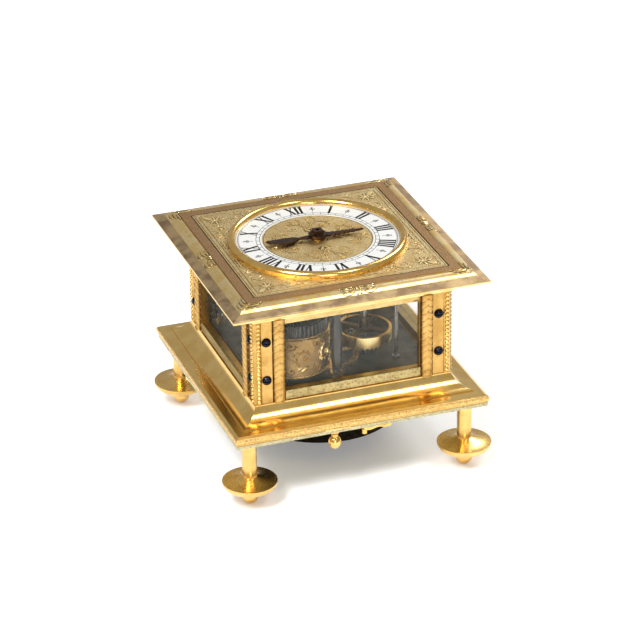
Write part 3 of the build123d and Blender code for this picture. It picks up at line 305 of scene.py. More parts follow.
polished_gilt = gilt("polished_gilt", GOLD, (0.74, 0.45, 0.12), GOLD_DEEP, 0.10, grain=0.006)
foot_gilt = gilt("foot_gilt", (0.86, 0.57, 0.20), (0.72, 0.45, 0.13), GOLD_DEEP, 0.17, grain=0.004)
worn_gilt = gilt("worn_gilt", (0.66, 0.41, 0.13), (0.48, 0.27, 0.07), GOLD_BROWN, 0.24)
pale_gilt = gilt("pale_gilt", (0.68, 0.49, 0.21), (0.54, 0.36, 0.13), GOLD_OLIVE, 0.22)
olive_gilt = gilt("olive_gilt", (0.56, 0.45, 0.21), (0.40, 0.31, 0.13), (0.18, 0.13, 0.06), 0.28, 0.08, 1.3)
under_gilt = gilt("under_gilt", (0.62, 0.56, 0.34), (0.46, 0.40, 0.22), (0.22, 0.18, 0.09), 0.36, 0.10, 1.1)
movement_brass = gilt("movement_brass", (0.86, 0.62, 0.24), (0.66, 0.43, 0.14), GOLD_BROWN, 0.20)
# partly painted shade: the barrel's ground is a dark brown, its thin patches near black, for its matted
# gilding and for shade between the raised foliage
drum_gilt = gilt("drum_gilt", (0.50, 0.32, 0.11), (0.32, 0.19, 0.06), HOLLOW, 0.34, 0.09)


def plain_metal(name, light, dark, rough, size=2.0, grain=0.015, stretch=(1, 1, 1)):
    """Steel, iron or bell metal: two tones by noise, with a fine grain."""
    recipe = Recipe(name)
    cloud = recipe.noise(size, 5.0, stretch)
    recipe.feed("Base Color", recipe.blend(cloud.rise(0.35, 0.7), light, dark))
    recipe.feed("Roughness", rough + cloud * 0.2)
    recipe.bump(recipe.noise(0.3, 3.0, stretch) * grain, 1.0)
    return recipe.material


dark_iron = plain_metal("dark_iron", (0.085, 0.045, 0.030), (0.035, 0.020, 0.016), 0.30)
blued_steel = plain_metal("blued_steel", (0.030, 0.032, 0.050), (0.012, 0.012, 0.018), 0.16)
grey_steel = plain_metal("grey_steel", (0.36, 0.35, 0.34), (0.20, 0.19, 0.19), 0.22, 3.0)
dark_steel = plain_metal("dark_steel", (0.10, 0.095, 0.09), (0.05, 0.045, 0.042), 0.28, 3.0)
# partly painted shade: the movement's bottom plate is a near-black grey, for its metal and for the shade
# under the lid
plate_steel_and_shade = plain_metal("plate_steel_and_shade", (0.11, 0.10, 0.085), (0.055, 0.050, 0.042), 0.24, 6.0)
bell_metal = plain_metal("bell_metal", (0.075, 0.065, 0.060), (0.035, 0.030, 0.028), 0.34, 7.0)
print("metals made:", len(bpy.data.materials))

# %% [markdown]
# ## The silvered ring, the lid and the glass
# The chapter ring is silvered brass, wiped round and round, so its grain follows circles: noise
# read against the distance from the middle. The lid has three bands of different finish, told
# apart by how far a point lies from the middle, measured square.

# %% Special finishes


def silvered():
    """Silvering: fine circles from noise read against the radius, under larger stains."""
    recipe = Recipe("silvered", metallic=0.45)
    values = {"W": round_distance(recipe) * 9.0, "Detail": 3.0}
    circles = recipe.node("ShaderNodeTexNoise", {"noise_dimensions": "1D"}, values, "Fac")
    stain = recipe.noise(5.0, 6.0).rise(0.52, 0.72)
    tone = recipe.blend(circles.rise(0.3, 0.7), (0.86, 0.86, 0.83), (0.76, 0.76, 0.73))
    recipe.feed("Base Color", recipe.blend(stain * 0.45, tone, (0.58, 0.56, 0.50)))
    recipe.feed("Roughness", 0.34 + stain * 0.15 + circles * 0.08)
    recipe.bump(circles * 0.006, 1.0)
    return recipe.material


LID_OUTER = 60.1
LID_CONVEX = 54.6
LID_INNER = 49.9
LID_FLAT_Z = 105.6
LID_EDGE_Z = 102.6
LID_SEAM = 0.2


def lid_finish():
    """Three bands told apart by the square distance: punched flat, gilt convex, worn slope."""
    recipe = Recipe("lid_gilt")
    square = square_distance(recipe)
    z = recipe.axes()[2]
    inner_seam = 1.0 - square.rise(LID_INNER - 0.1, LID_INNER + 0.1)
    seam = inner_seam.larger(square.within(LID_CONVEX - LID_SEAM, LID_CONVEX, 0.1))
    flat = square.within(LID_INNER, LID_CONVEX, 0.12) * z.rise(LID_FLAT_Z, LID_FLAT_Z + 0.2)
    outer = square.rise(LID_OUTER - 0.15, LID_OUTER + 0.15) * z.rise(LID_EDGE_Z - 0.2, LID_EDGE_Z + 0.2)
    cloud = recipe.noise(8.0, 4.0)
    speck = recipe.noise(0.8, 5.0)
    punch = recipe.dots(0.62).rise(0.08, 0.6)
    gold = recipe.blend(cloud.rise(0.35, 0.68), GOLD_PALE, GOLD)
    gold = recipe.blend(speck.rise(0.58, 0.74), gold, GOLD_BROWN)
    brown = recipe.blend(punch, (0.13, 0.07, 0.035), (0.42, 0.25, 0.11))
    worn = recipe.blend(recipe.noise(9.0, 5.0).rise(0.38, 0.66), (0.52, 0.37, 0.19), (0.27, 0.18, 0.10))
    bands = recipe.blend(outer, recipe.blend(flat, gold, brown), worn)
    recipe.feed("Base Color", recipe.blend(seam, bands, HOLLOW))
    recipe.feed("Roughness", 0.24 + speck * 0.14 + flat * 0.16 + outer * 0.14)
    recipe.bump(speck * 0.02 + punch * flat * 0.08, 1.0)
    return recipe.material


CUT_HALF = 0.16
CUT_EDGE = 0.08


def dial_finish(name, distance, places):
    """Engraved gilding with cut lines, one at each of some distances from the middle."""
    recipe = Recipe(name)
    away = distance(recipe)
    cuts = [away.within(place - CUT_HALF, place + CUT_HALF, CUT_EDGE) for place in places]
    lines = cuts[0]
    for cut in cuts[1:]:
        lines = lines.larger(cut)
    cloud = recipe.noise(7.0, 4.0)
    speck = recipe.noise(0.9, 5.0)
    mark = recipe.dots(0.75).rise(0.08, 0.6)
    gold = recipe.blend(cloud.rise(0.35, 0.68), (0.86, 0.68, 0.34), (0.76, 0.54, 0.22))
    gold = recipe.blend((1.0 - mark) * 0.8, gold, GOLD_BROWN)
    recipe.feed("Base Color", recipe.blend(lines, gold, HOLLOW))
    recipe.feed("Roughness", 0.30 + speck * 0.18)
    recipe.bump(mark * 0.07 + speck * 0.02 - lines * 0.1, 1.0)
    return recipe.material


RIM_OUT = 64.4
RIM_TOP = 41.0
RIM_FOOT = 36.75


def base_finish():
    """Polished gilding, with a stippled rim and painted shade, near black, along the rim's lower edge."""
    recipe = Recipe("base_gilt")
    square = square_distance(recipe)
    z = recipe.axes()[2]
    rim = square.rise(RIM_OUT, RIM_OUT + 0.4) * (1.0 - z.rise(RIM_TOP - 0.1, RIM_TOP + 0.1))
    # painted shade: the lowest part of the rim's face is coloured near black, for the shade under its lower
    # edge
    rim_foot_shade = rim * (1.0 - z.rise(RIM_FOOT - 0.08, RIM_FOOT + 0.08))
    cloud = recipe.noise(11.0, 4.0)
    speck = recipe.noise(0.9, 5.0)
    mark = recipe.dots(0.95).rise(0.1, 0.7)
    gold = recipe.blend(cloud.rise(0.35, 0.68), (0.90, 0.62, 0.22), (0.80, 0.51, 0.15))
    gold = recipe.blend(speck.rise(0.62, 0.78), gold, GOLD_DEEP)
    stippled = recipe.blend(mark, (0.50, 0.27, 0.08), (0.84, 0.56, 0.20))
    gold = recipe.blend(rim, gold, stippled)
    recipe.feed("Base Color", recipe.blend(rim_foot_shade, gold, (0.012, 0.008, 0.005)))
    recipe.feed("Roughness", 0.14 + speck * 0.10 + rim * 0.14)
    recipe.bump(speck * 0.008 + mark * rim * 0.16, 1.0)
    return recipe.material


def pane():
    """Old glass: nearly clear, with a faint smear."""
    recipe = Recipe("pane", metallic=0.0, Roughness=0.03, Alpha=0.07, IOR=1.5)
    smear = recipe.noise(14.0, 4.0).rise(0.4, 0.7)
    recipe.feed("Base Color", recipe.blend(smear, (0.30, 0.33, 0.30), (0.45, 0.48, 0.44)))
    return recipe.material


CONTRATE_MIDDLE = (16.6, -20.0)
CONTRATE_RIM = 12.4


def wheel_finish():
    """Painted light on the contrate wheel's rim, coloured near white gold so that it looks lit; its
    crossings are coloured dull brown as painted shadow of the lid.
    """
    recipe = Recipe("contrate_brass")
    rim = round_distance(recipe, CONTRATE_MIDDLE).rise(CONTRATE_RIM - 0.2, CONTRATE_RIM + 0.2)
    speck = recipe.noise(1.2, 5.0)
    # painted shadow: the crossings are coloured dull brown for the lid's shadow
    crossing_shadow_paint = recipe.blend(speck.rise(0.4, 0.7), (0.26, 0.19, 0.10), (0.15, 0.11, 0.06))
    # painted light: the rim's near white gold stands for light that does not reach it inside the case
    bright = recipe.blend(speck.rise(0.5, 0.75), (1.0, 0.80, 0.38), (0.90, 0.66, 0.27))
    recipe.feed("Base Color", recipe.blend(rim, crossing_shadow_paint, bright))
    recipe.feed("Roughness", 0.26 + speck * 0.12 - rim * 0.08)
    recipe.bump(recipe.noise(0.4, 3.0) * 0.015, 1.0)
    return recipe.material


PILLAR_FOOT_Z = 54.4


def pillar_finish():
    """A dark polished shaft on a gilt foot."""
    recipe = Recipe("pillar")
    foot = 1.0 - recipe.axes()[2].rise(PILLAR_FOOT_Z - 0.1, PILLAR_FOOT_Z + 0.1)
    speck = recipe.noise(0.9, 5.0)
    shaft = recipe.blend(speck.rise(0.4, 0.7), (0.09, 0.085, 0.08), (0.04, 0.037, 0.035))
    recipe.feed("Base Color", recipe.blend(foot, shaft, GOLD_PALE))
    recipe.feed("Roughness", 0.12 + speck * 0.12 + foot * 0.1)
    recipe.bump(recipe.noise(0.3, 3.0) * 0.01, 1.0)
    return recipe.material


silver = silvered()
lid_gilt = lid_finish()
plate_gilt = dial_finish("plate_gilt", square_distance, (49.3, 48.3, 46.4))
disc_gilt = dial_finish("disc_gilt", round_distance, (26.8, 4.9))
base_gilt = base_finish()
contrate_brass = wheel_finish()
pillar_steel = pillar_finish()
glass = pane()
print("materials made:", len(bpy.data.materials))

# %% [markdown]
# ## Finishes on the frame's own nodes
# Most of the clock's solids already have the right shape, so they only change their material.

# %% Dress the nodes
FINISHES = (
    (polished_gilt, "bezel catch_knob scroll_lever"),
    (foot_gilt, "foot_front_left foot_front_right foot_back_left foot_back_right"),
    (base_gilt, "base_moulding"),
    (worn_gilt, "pilaster_front_left pilaster_front_right pilaster_back_left pilaster_back_right "
                "lower_hinge_leaf upper_hinge_leaf"),
    (pale_gilt, "body_frame"),
    (plate_gilt, "dial_plate"),
    (disc_gilt, "centre_disc"),
    (drum_gilt, "barrel_drum"),
    (under_gilt, "underplate"),
    (olive_gilt, "window_sills"),
    (movement_brass, "top_plate second_wheel crown_wheel balance_wheel balance_cock "
                     "escape_front_cock potence hour_wheel catch_keeper"),
    (contrate_brass, "contrate_wheel"),
    (pillar_steel, "movement_pillar_1 movement_pillar_3 movement_pillar_4"),
    (grey_steel, "movement_pillar_2 contrate_arbor second_arbor escape_arbor verge hinge_pin "
                 "hand_stud hammer bell_post bell_nut barrel_arbor ratchet_wheel"),
    (dark_steel, "great_wheel dial_pinion mainspring"),
    (plate_steel_and_shade, "bottom_plate"),
    (dark_iron, "hour_hand hand_collet"),
    (blued_steel, "pilaster_screws lever_screw"),
    (silver, "chapter_ring"),
    (bell_metal, "bell"),
    (lid_gilt, "lid_frame"),
    (glass, "glass_front glass_right glass_back glass_left"),
)
dressed = set()
for material, names in FINISHES:
    for name in names.split():
        for material_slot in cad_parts[name].material_slots:
            material_slot.material = material
        dressed.add(name)
print("nodes without a finish:", sorted(set(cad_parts) - dressed))

# %% [markdown]
# ## Surfaces from arrays
# A grid of points becomes a closed tube by numbering its corners round and round, with a flat
# face at each end. All of a piece's grids are stacked into one array, so that a hundred pearls
# cost one call. Where a shape would come out inside out, its faces are turned.

# %% Mesh helpers
SHARP_FROM = np.radians(95)
QUARTERS = (0, 90, 180, 270)


def grid_faces(rows, columns, ring=False):
    """Corner numbers of a tube's quads: its columns close round, and its rows too when it is a ring."""
    row = np.arange(rows if ring else rows - 1)[:, None]
    column = np.arange(columns)
    following = (row + 1) % rows * columns
    beside = (column + 1) % columns
    corners = (row * columns + column, row * columns + beside, following + beside, following + column)
    return np.stack([corner.ravel() for corner in corners], axis=1)


def end_faces(rows, columns):
    """The two faces that close a tube's ends, one turned against the other."""
    first = np.arange(columns)
    return np.stack((first[::-1], first + (rows - 1) * columns))


def piece(name, points, faces, material, body, slot, smooth=True):
    """A mesh object from points in millimetres, riding on a body, with its sharp edges kept sharp."""
    mesh = bpy.data.meshes.new(name)
    mesh.from_pydata((points * MM).tolist(), [], faces)
    mesh.polygons.foreach_set("use_smooth", np.full(len(mesh.polygons), smooth))
    mesh.set_sharp_from_angle(angle=SHARP_FROM)
    mesh.materials.append(material)
    mesh.update()
    made = bpy.data.objects.new(name, mesh)
    bpy.context.collection.objects.link(made)
    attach(made, body)
    return made


def stack(shapes, *face_sets):
    """Alike shapes (n, points, 3) as one mesh. A face's share of its shape's volume is its area
    vector dotted with its middle; a shape whose volume is negative is inside out and is turned."""
    shapes = np.asarray(shapes)
    centred = shapes - shapes.mean(axis=1, keepdims=True)
    volume = np.zeros(len(shapes))
    for face_set in face_sets:
        corners = centred[:, face_set]
        area = np.cross(corners, np.roll(corners, -1, axis=2)).sum(axis=2) / 2
        volume += (area * corners.mean(axis=2)).sum(axis=(1, 2)) / 3
    faces = []
    for face_set in face_sets:
        copies = np.repeat(face_set[None], len(shapes), axis=0)
        copies[volume < 0] = copies[volume < 0][:, :, ::-1]
        copies += np.arange(len(shapes))[:, None, None] * shapes.shape[1]
        faces += copies.reshape(-1, face_set.shape[1]).tolist()
    return shapes.reshape(-1, 3), faces


def tubes(shapes, rows, columns):
    """Closed tubes with flat ends as one mesh."""
    return stack(shapes, grid_faces(rows, columns), end_faces(rows, columns))


def turned(points, degrees):
    """Points turned about the upright axis."""
    angle = np.radians(degrees)
    spin = np.array(((np.cos(angle), -np.sin(angle), 0), (np.sin(angle), np.cos(angle), 0), (0, 0, 1)))
    return np.asarray(points) @ spin.T


print("faces of a tube of 22 rows and 3 columns:", len(grid_faces(22, 3)) + len(end_faces(22, 3)))

# %% [markdown]
# ## Strokes of relief
# Chased foliage is drawn with strokes that swell and taper. A stroke is a path in the plane with
# a width along it; its section is a low roof with three points. A carrier function then bends
# the flat drawing onto a plate, a drum or a moulding, and lifts the crest.

# %% Strokes
STROKE_POINTS = 22
LEAST_WIDTH = 0.04
END_LIFT = 0.2
SCROLL_TURNS = 1.15
BUD_LEAVES = 5
along = np.linspace(0.0, 1.0, STROKE_POINTS)


def stroke(path, width):
    """A path (n, 2) and its half width, as left, crest and right points (n, 3, 2)."""
    path = np.asarray(path, float)
    heading = np.gradient(path, axis=0)
    heading /= np.linalg.norm(heading, axis=1)[:, None] + 1e-12
    side = np.stack((-heading[:, 1], heading[:, 0]), axis=1) * np.maximum(width, LEAST_WIDTH)[:, None]
    return np.stack((path - side, path, path + side), axis=1)


def scroll(centre, size, start, sense):
    """A tapering spiral: radius shrinks steadily while the angle runs on."""
    angle = start + sense * 2 * np.pi * SCROLL_TURNS * along
    radius = size * (1.0 - 0.86 * along)
    path = np.asarray(centre) + np.stack((np.cos(angle), np.sin(angle)), axis=1) * radius[:, None]
    return path, size * 0.10 * (1.1 - along) ** 0.7


def leaf(root, angle, length, curl, breadth=0.22):
    """A curved leaf: the heading turns by curl from root to tip, widest near the middle."""
    heading = angle + curl * along
    step = np.stack((np.cos(heading), np.sin(heading)), axis=1) * (length / STROKE_POINTS)
    path = np.asarray(root) + np.cumsum(step, axis=0)
    return path, length * breadth * np.sin(np.pi * np.clip(along, 0.02, 0.98)) ** 0.8


def frond(centre, size, start, sense, leaves=6):
    """A scroll with leaves along its outer side and a bud at its heart."""
    path, width = scroll(centre, size, start, sense)
    made = [stroke(path, width)]
    for number in range(leaves):
        at = int(1 + number * (STROKE_POINTS * 0.62) / leaves)
        heading = start + sense * 2 * np.pi * SCROLL_TURNS * along[at]
        length = size * (0.62 - 0.05 * number)
        made.append(stroke(*leaf(path[at], heading + sense * 0.55, length, sense * 1.1)))
    for number in range(BUD_LEAVES):
        angle = start + number * 2 * np.pi / BUD_LEAVES
        made.append(stroke(*leaf(centre, angle, size * 0.26, 0.0, 0.34)))
    return made


def rosette(centre, size, petals=8):
    """A flower: petals round a ring of smaller ones."""
    made = []
    for number in range(petals):
        angle = 2 * np.pi * number / petals
        root = np.asarray(centre) + 0.25 * size * np.array((np.cos(angle), np.sin(angle)))
        made.append(stroke(*leaf(root, angle, size * 0.78, 0.0, 0.30)))
        made.append(stroke(*leaf(centre, angle + np.pi / petals, size * 0.42, 0.0, 0.26)))
    return made


def mirrored(strokes, normal):
    """Strokes reflected in a line through the origin with the given normal."""
    normal = np.asarray(normal) / np.linalg.norm(normal)
    return [s[:, ::-1] - 2 * (s[:, ::-1] @ normal)[..., None] * normal for s in strokes]


def spun(strokes, degrees):
    """Strokes turned about the origin."""
    angle = np.radians(degrees)
    spin = np.array(((np.cos(angle), -np.sin(angle)), (np.sin(angle), np.cos(angle))))
    return [s @ spin.T for s in strokes]


def relief(name, strokes, carrier, height, material, body, slot):
    """Carry strokes onto a surface; carrier takes two coordinates and a lift, all arrays."""
    flat = np.asarray(strokes)
    lift = np.zeros(flat.shape[:3])
    lift[:, :, 1] = height
    lift[:, (0, -1), 1] = height * END_LIFT
    points = carrier(flat[..., 0], flat[..., 1], lift)
    grids = points.reshape(len(flat), -1, 3)
    return piece(name, *tubes(grids, STROKE_POINTS, 3), material, body, slot)


def on_level(height):
    """A carrier that lays a drawing on a level plate."""
    return lambda a, b, lift: np.stack((a, b, height + lift), axis=-1)


print("strokes in a frond with six leaves:", len(frond((0.0, 0.0), 1.0, 0.0, 1)))

# %% [markdown]
# ## The dial plate's corners and the centre disc
# Each corner holds a flower between fronds that shrink towards the middle of the sides. The
# centre disc has four large fronds and their mirror images. Both are generic foliage.

# %% Foliage on the dial
PLATE_Z = 106.4
PLATE_RELIEF = 0.26
corner = rosette((40.0, 40.0), 4.4)
half_corner = frond((40.4, 29.2), 4.6, -2.2, 1) + frond((43.0, 20.6), 2.8, -2.0, -1)
half_corner += [stroke(*leaf((44.6, 16.4 - 3.4 * k), -1.75, 4.0, 0.5, 0.26)) for k in range(3)]
half_corner += [stroke(*leaf((45.6, 45.6 - 1.5 * k), -2.6, 4.6, 0.5)) for k in range(2)]
corner += half_corner + mirrored(half_corner, (1, -1))
corners = [s for turn in QUARTERS for s in spun(corner, turn)]
# painted shade: the low edges of the plate's foliage are darkened towards HOLLOW
plate_leaf = gilt("plate_leaf", GOLD_PALE, GOLD_WARM, GOLD, 0.36,
                  crest=level_crest(PLATE_Z + 0.05, PLATE_Z + 0.8 * PLATE_RELIEF))
relief("dial_foliage", corners, on_level(PLATE_Z), PLATE_RELIEF, plate_leaf, "case", "engraved_gilt")

DISC_Z = 107.2
DISC_RELIEF = 0.24
quarter = frond((14.8, 7.2), 6.2, -2.4, 1, 8) + frond((22.6, 3.6), 3.0, 2.6, -1)
quarter += [stroke(*leaf((7.5, 0.0), 0.25, 6.5, 0.5))]
quarter += mirrored(quarter, (0, 1))
disc = [s for turn in QUARTERS for s in spun(quarter, turn)]
# painted shade: the low edges of the disc's foliage are darkened towards HOLLOW
disc_leaf = gilt("disc_leaf", GOLD_WARM, GOLD, GOLD_DEEP, 0.36,
                 crest=level_crest(DISC_Z + 0.05, DISC_Z + 0.8 * DISC_RELIEF))
relief("disc_foliage", disc, on_level(DISC_Z), DISC_RELIEF, disc_leaf, "case", "engraved_gilt")
print("strokes on the plate and on the disc:", len(corners), len(disc))

# %% [markdown]
# ## Numerals on the chapter ring
# The hours are roman, cut radially with their feet inwards, and four is IIII. A glyph is a list
# of strokes in the plane of the letter; the plane is then bent round the ring: across becomes an
# angle and up becomes a radius. Half hours have a small fleur, quarters a ladder of ticks.

# %% Numerals
RING_Z = 107.4
NUMERAL_FOOT = 30.5
NUMERAL_HEIGHT = 8.1
NUMERAL_MIDDLE = 34.7
INK_LIFT = 0.03
INK_SUNK = 0.1
INK_HEIGHTS = RING_Z + np.array((-INK_SUNK, INK_LIFT, INK_LIFT, -INK_SUNK))
TICKS = 48
CIRCLES = ((39.3, 0.28), (38.8, 0.12), (30.3, 0.22), (28.5, 0.26))
CIRCLE_POINTS = 180
GLYPH_POINTS = 5
GLYPH_WIDTH = {"I": 2.15, "V": 4.2, "X": 4.2}
HOURS = ("XII", "I", "II", "III", "IIII", "V", "VI", "VII", "VIII", "IX", "X", "XI")


def bar(x0, y0, x1, y1, width):
    """A straight bar from foot to head with level ends, as its four long edges (points, 4, 2)."""
    t = np.linspace(0, 1, GLYPH_POINTS)
    x, y = x0 + (x1 - x0) * t, y0 + (y1 - y0) * t
    left = np.stack((x - width / 2, y), axis=1)
    right_side = np.stack((x + width / 2, y), axis=1)
    return np.stack((left, left, right_side, right_side), axis=1)


def glyph(letter, x):
    """The bars of one letter whose middle is at x."""
    tall = NUMERAL_HEIGHT
    serif = 0.34
    if letter == "I":
        bars = [bar(x, 0, x, tall, 1.3)]
        ends = [(x, 1.9)]
    elif letter == "V":
        bars = [bar(x, 0, x - 1.35, tall, 1.4), bar(x + 0.1, 0, x + 1.45, tall, 0.55)]
        ends = [(x - 1.25, 1.8), (x + 1.35, 1.4)]
    else:
        bars = [bar(x + 1.35, 0, x - 1.35, tall, 1.4), bar(x - 1.35, 0, x + 1.35, tall, 0.55)]
        ends = [(x - 1.25, 1.8), (x + 1.25, 1.5)]
    bars += [bar(e, tall - serif, e, tall, w) for e, w in ends]
    if letter != "V":
        bars += [bar(e, 0, e, serif, w) for e, w in ends]
    return bars


def ring_point(across, radius, hour):
    """A letter's point on the ring: across is measured at the middle of the numerals."""
    angle = np.radians(90.0 - 30.0 * hour) - across / NUMERAL_MIDDLE
    height = np.broadcast_to(INK_HEIGHTS, angle.shape)
    return np.stack((np.cos(angle) * radius, np.sin(angle) * radius, height), -1)


inked = []
for hour, word in enumerate(HOURS):
    widths = np.array([GLYPH_WIDTH[letter] for letter in word])
    middles = np.cumsum(widths) - widths / 2 - widths.sum() / 2
    for letter, middle in zip(word, middles):
        for grid in glyph(letter, middle):
            inked.append(ring_point(grid[..., 0], NUMERAL_FOOT + grid[..., 1], hour))
    fleur = [bar(0, 1.2, 0, 4.6, 0.30), bar(-0.1, 4.2, -0.1, 6.2, 0.75), bar(0, 3.5, 0, 3.8, 2.2),
             bar(-0.9, 3.8, -1.1, 4.8, 0.40), bar(0.9, 3.8, 1.1, 4.8, 0.40)]
    for grid in fleur:
        inked.append(ring_point(grid[..., 0], NUMERAL_FOOT + grid[..., 1], hour + 0.5))
for tick in range(TICKS):
    grid = bar(0, 28.6, 0, 30.2, 0.30)
    inked.append(ring_point(grid[..., 0], grid[..., 1], tick * 12 / TICKS))
ink_grids = np.asarray(inked).reshape(len(inked), -1, 3)
ring_ink = plain_metal("ring_ink", (0.020, 0.018, 0.018), (0.010, 0.009, 0.009), 0.42)
piece("numerals", *tubes(ink_grids, GLYPH_POINTS, 4), ring_ink, "case", "dark_iron", smooth=False)
print("bars in the numerals, fleurs and ticks:", len(inked))


def ring_line(radius, width):
    """A thin circle on the ring, four-sided in section."""
    angle = np.linspace(0, 2 * np.pi, CIRCLE_POINTS, endpoint=False)[:, None]
    across = radius + np.array((-0.5, -0.5, 0.5, 0.5)) * width
    height = np.broadcast_to(INK_HEIGHTS, (CIRCLE_POINTS, 4))
    return np.stack((np.cos(angle) * across, np.sin(angle) * across, height), -1).reshape(-1, 3)


circles = [ring_line(radius, width) for radius, width in CIRCLES]
piece("ring_lines", *stack(circles, grid_faces(CIRCLE_POINTS, 4, ring=True)), ring_ink, "case",
      "dark_iron", smooth=False)

# %% [markdown]
# ## Pearls and leaf strips on the pilasters
# Each face of a corner has a string of pearls by the edge and a band of overlapping leaves by
# the window. A pearl is a sphere sunk to its middle. The leaf band is a half-round whose height
# is stepped like roof tiles: the phase runs up the band and lags towards its edges.

# %% Pearls and leaves
BODY_HALF = 50.1
BODY_LOW, BODY_HIGH = 49.3, 93.1
PEARL_X, PEARL_RADIUS, PEARL_COUNT = 48.4, 1.12, 20
LEAF_OUTER, LEAF_INNER = 41.3, 34.7
LEAF_RISE, LEAF_PITCH = 2.2, 3.4
PEARL_ROWS, PEARL_COLUMNS = 9, 12
LEAF_ROWS, LEAF_COLUMNS = 150, 15

polar, azimuth = np.meshgrid(
    np.linspace(0.1, np.pi - 0.1, PEARL_ROWS),
    np.linspace(0, 2 * np.pi, PEARL_COLUMNS, endpoint=False),
    indexing="ij",
)
pearl_shape = np.stack((
    np.sin(polar) * np.cos(azimuth), -np.cos(polar), np.sin(polar) * np.sin(azimuth),
), axis=-1).reshape(-1, 3) * PEARL_RADIUS
heights = np.linspace(BODY_LOW + 1.2, BODY_HIGH - 1.2, PEARL_COUNT)
strings = []
for turn in QUARTERS:
    for side in (-1, 1):
        for height in heights:
            middle = np.array((side * PEARL_X, -BODY_HALF - 0.5, height))
            strings.append(turned(pearl_shape + middle, turn))
# painted shade: the back half of each pearl, towards the body, is darkened towards HOLLOW
pearl_gilt = gilt("pearl_gilt", GOLD, GOLD, GOLD_DEEP, 0.14, crest=square_crest(50.6, 51.3))
piece("pearls", *tubes(strings, PEARL_ROWS, PEARL_COLUMNS), pearl_gilt, "case", "engraved_gilt")

upward, across = np.meshgrid(
    np.linspace(BODY_LOW, BODY_HIGH, LEAF_ROWS), np.linspace(-1, 1, LEAF_COLUMNS), indexing="ij"
)
phase = (upward / LEAF_PITCH + 0.75 * np.abs(across)) % 1.0
vein = 0.10 * np.exp(-(across / 0.13) ** 2)
lobes = 0.07 * np.cos(np.pi * 5 * across)
half_round = np.sqrt(np.clip(1 - across**2, 0, 1))
leaf_height = LEAF_RISE * half_round * (0.55 + 0.50 * phase**0.7 + vein + lobes)
bands = []
for turn in QUARTERS:
    for side in (-1, 1):
        x = side * ((LEAF_OUTER + LEAF_INNER) / 2) + across * (LEAF_OUTER - LEAF_INNER) / 2
        band = np.stack((x, -BODY_HALF - 0.03 - leaf_height, upward), axis=-1).reshape(-1, 3)
        bands.append(turned(band, turn))
# painted shade: the low parts of the leaf bands, near the body, are darkened towards HOLLOW
strip_gilt = gilt("strip_gilt", (0.62, 0.38, 0.12), (0.44, 0.25, 0.07), GOLD_BROWN, 0.26, grain=0.05,
                  crest=square_crest(50.6, 51.9))
piece("leaf_bands", *tubes(bands, LEAF_ROWS, LEAF_COLUMNS), strip_gilt, "case", "engraved_gilt")
print("pearls and leaf bands:", len(strings), len(bands))

# %% [markdown]
# ## Clasps on the lid
# The convex band of the lid is gripped by engraved leaves at its corners and half way along
# each side. The drawing is made flat, along and across the band, and the carrier lifts it onto
# the band's arc, taken as the parabola through its three known heights.

# %% Clasps
BAND_U = np.array((60.0, 57.3, 54.6))
BAND_Z = np.array((104.19, 106.1, 106.0))
CLASP_RELIEF = 0.5
band_curve = np.polyfit(BAND_U, BAND_Z, 2)


def band_crest(recipe):
    """Painted shade: brightens with height above the convex band, whose curve is a parabola, so the clasps'
    low edges are darker.
    """
    square = square_distance(recipe)
    z = recipe.axes()[2]
    curve = (square * band_curve[0] + band_curve[1]) * square + band_curve[2]
    return (z - curve).rise(0.08, 0.34)


def on_band(turn):
    """A carrier for one side of the lid: a runs along the side, b outwards from the middle."""
    def carry(a, b, lift):
        """The point's height is the band's parabola at b, a hair over it, plus the lift."""
        z = np.polyval(band_curve, b) + 0.05 + lift
        return turned(np.stack((a, -b, z), axis=-1), turn)
    return carry


clasp = []
for side in (-1, 1):
    outward = 0.0 if side > 0 else np.pi
    upright = np.stack((np.full(STROKE_POINTS, side * 0.9), np.linspace(54.8, 59.9, STROKE_POINTS)), 1)
    clasp.append(stroke(upright, np.full(STROKE_POINTS, 0.5)))
    for row in (55.6, 57.3, 59.0):
        clasp.append(stroke(*leaf((side * 1.6, row), outward, 7.5, 0.0, 0.13)))
    for row, lean in ((56.4, 0.25), (58.2, -0.25)):
        clasp.append(stroke(*leaf((side * 4.5, row), outward + side * lean, 4.5, 0.0, 0.16)))
    for row in (55.4, 57.0, 58.6):
        clasp.append(stroke(*leaf((side * (row - 0.6), row), np.pi - outward, 7.5, 0.0, 0.13)))
# painted shade: the clasps' low edges are darkened towards HOLLOW
clasp_leaf = gilt("clasp_leaf", GOLD_PALE, GOLD, GOLD_DEEP, 0.18, crest=band_crest)
for number, turn in enumerate(QUARTERS):
    relief(f"lid_clasps_{number + 1}", clasp, on_band(turn), CLASP_RELIEF, clasp_leaf, "case", "pale_gilt")
print("strokes in the clasps of one side:", len(clasp))

# %% [markdown]
# ## Engraving on the barrel
# The drum is covered in foliage between two beaded lines. The carrier wraps the flat drawing
# round the drum: one coordinate becomes an angle, the other a height.

# %% Barrel engraving
drum_low, drum_high = (np.array(corner_point) / MM for corner_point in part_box("barrel_drum"))
DRUM_MIDDLE = (drum_low[:2] + drum_high[:2]) / 2
DRUM_RADIUS = (drum_high[0] - drum_low[0]) / 2
DRUM_FOOT, DRUM_HEAD = drum_low[2], drum_low[2] + 21.6
DRUM_RELIEF = 0.7
REPEATS = 8


def on_drum(a, b, lift):
    """Wrap a drawing round the drum: a is the arc's length, b the height."""
    angle = a / DRUM_RADIUS
    radius = DRUM_RADIUS + 0.02 + lift
    east, north = radius * np.cos(angle), radius * np.sin(angle)
    return np.stack((DRUM_MIDDLE[0] + east, DRUM_MIDDLE[1] + north, b), -1)


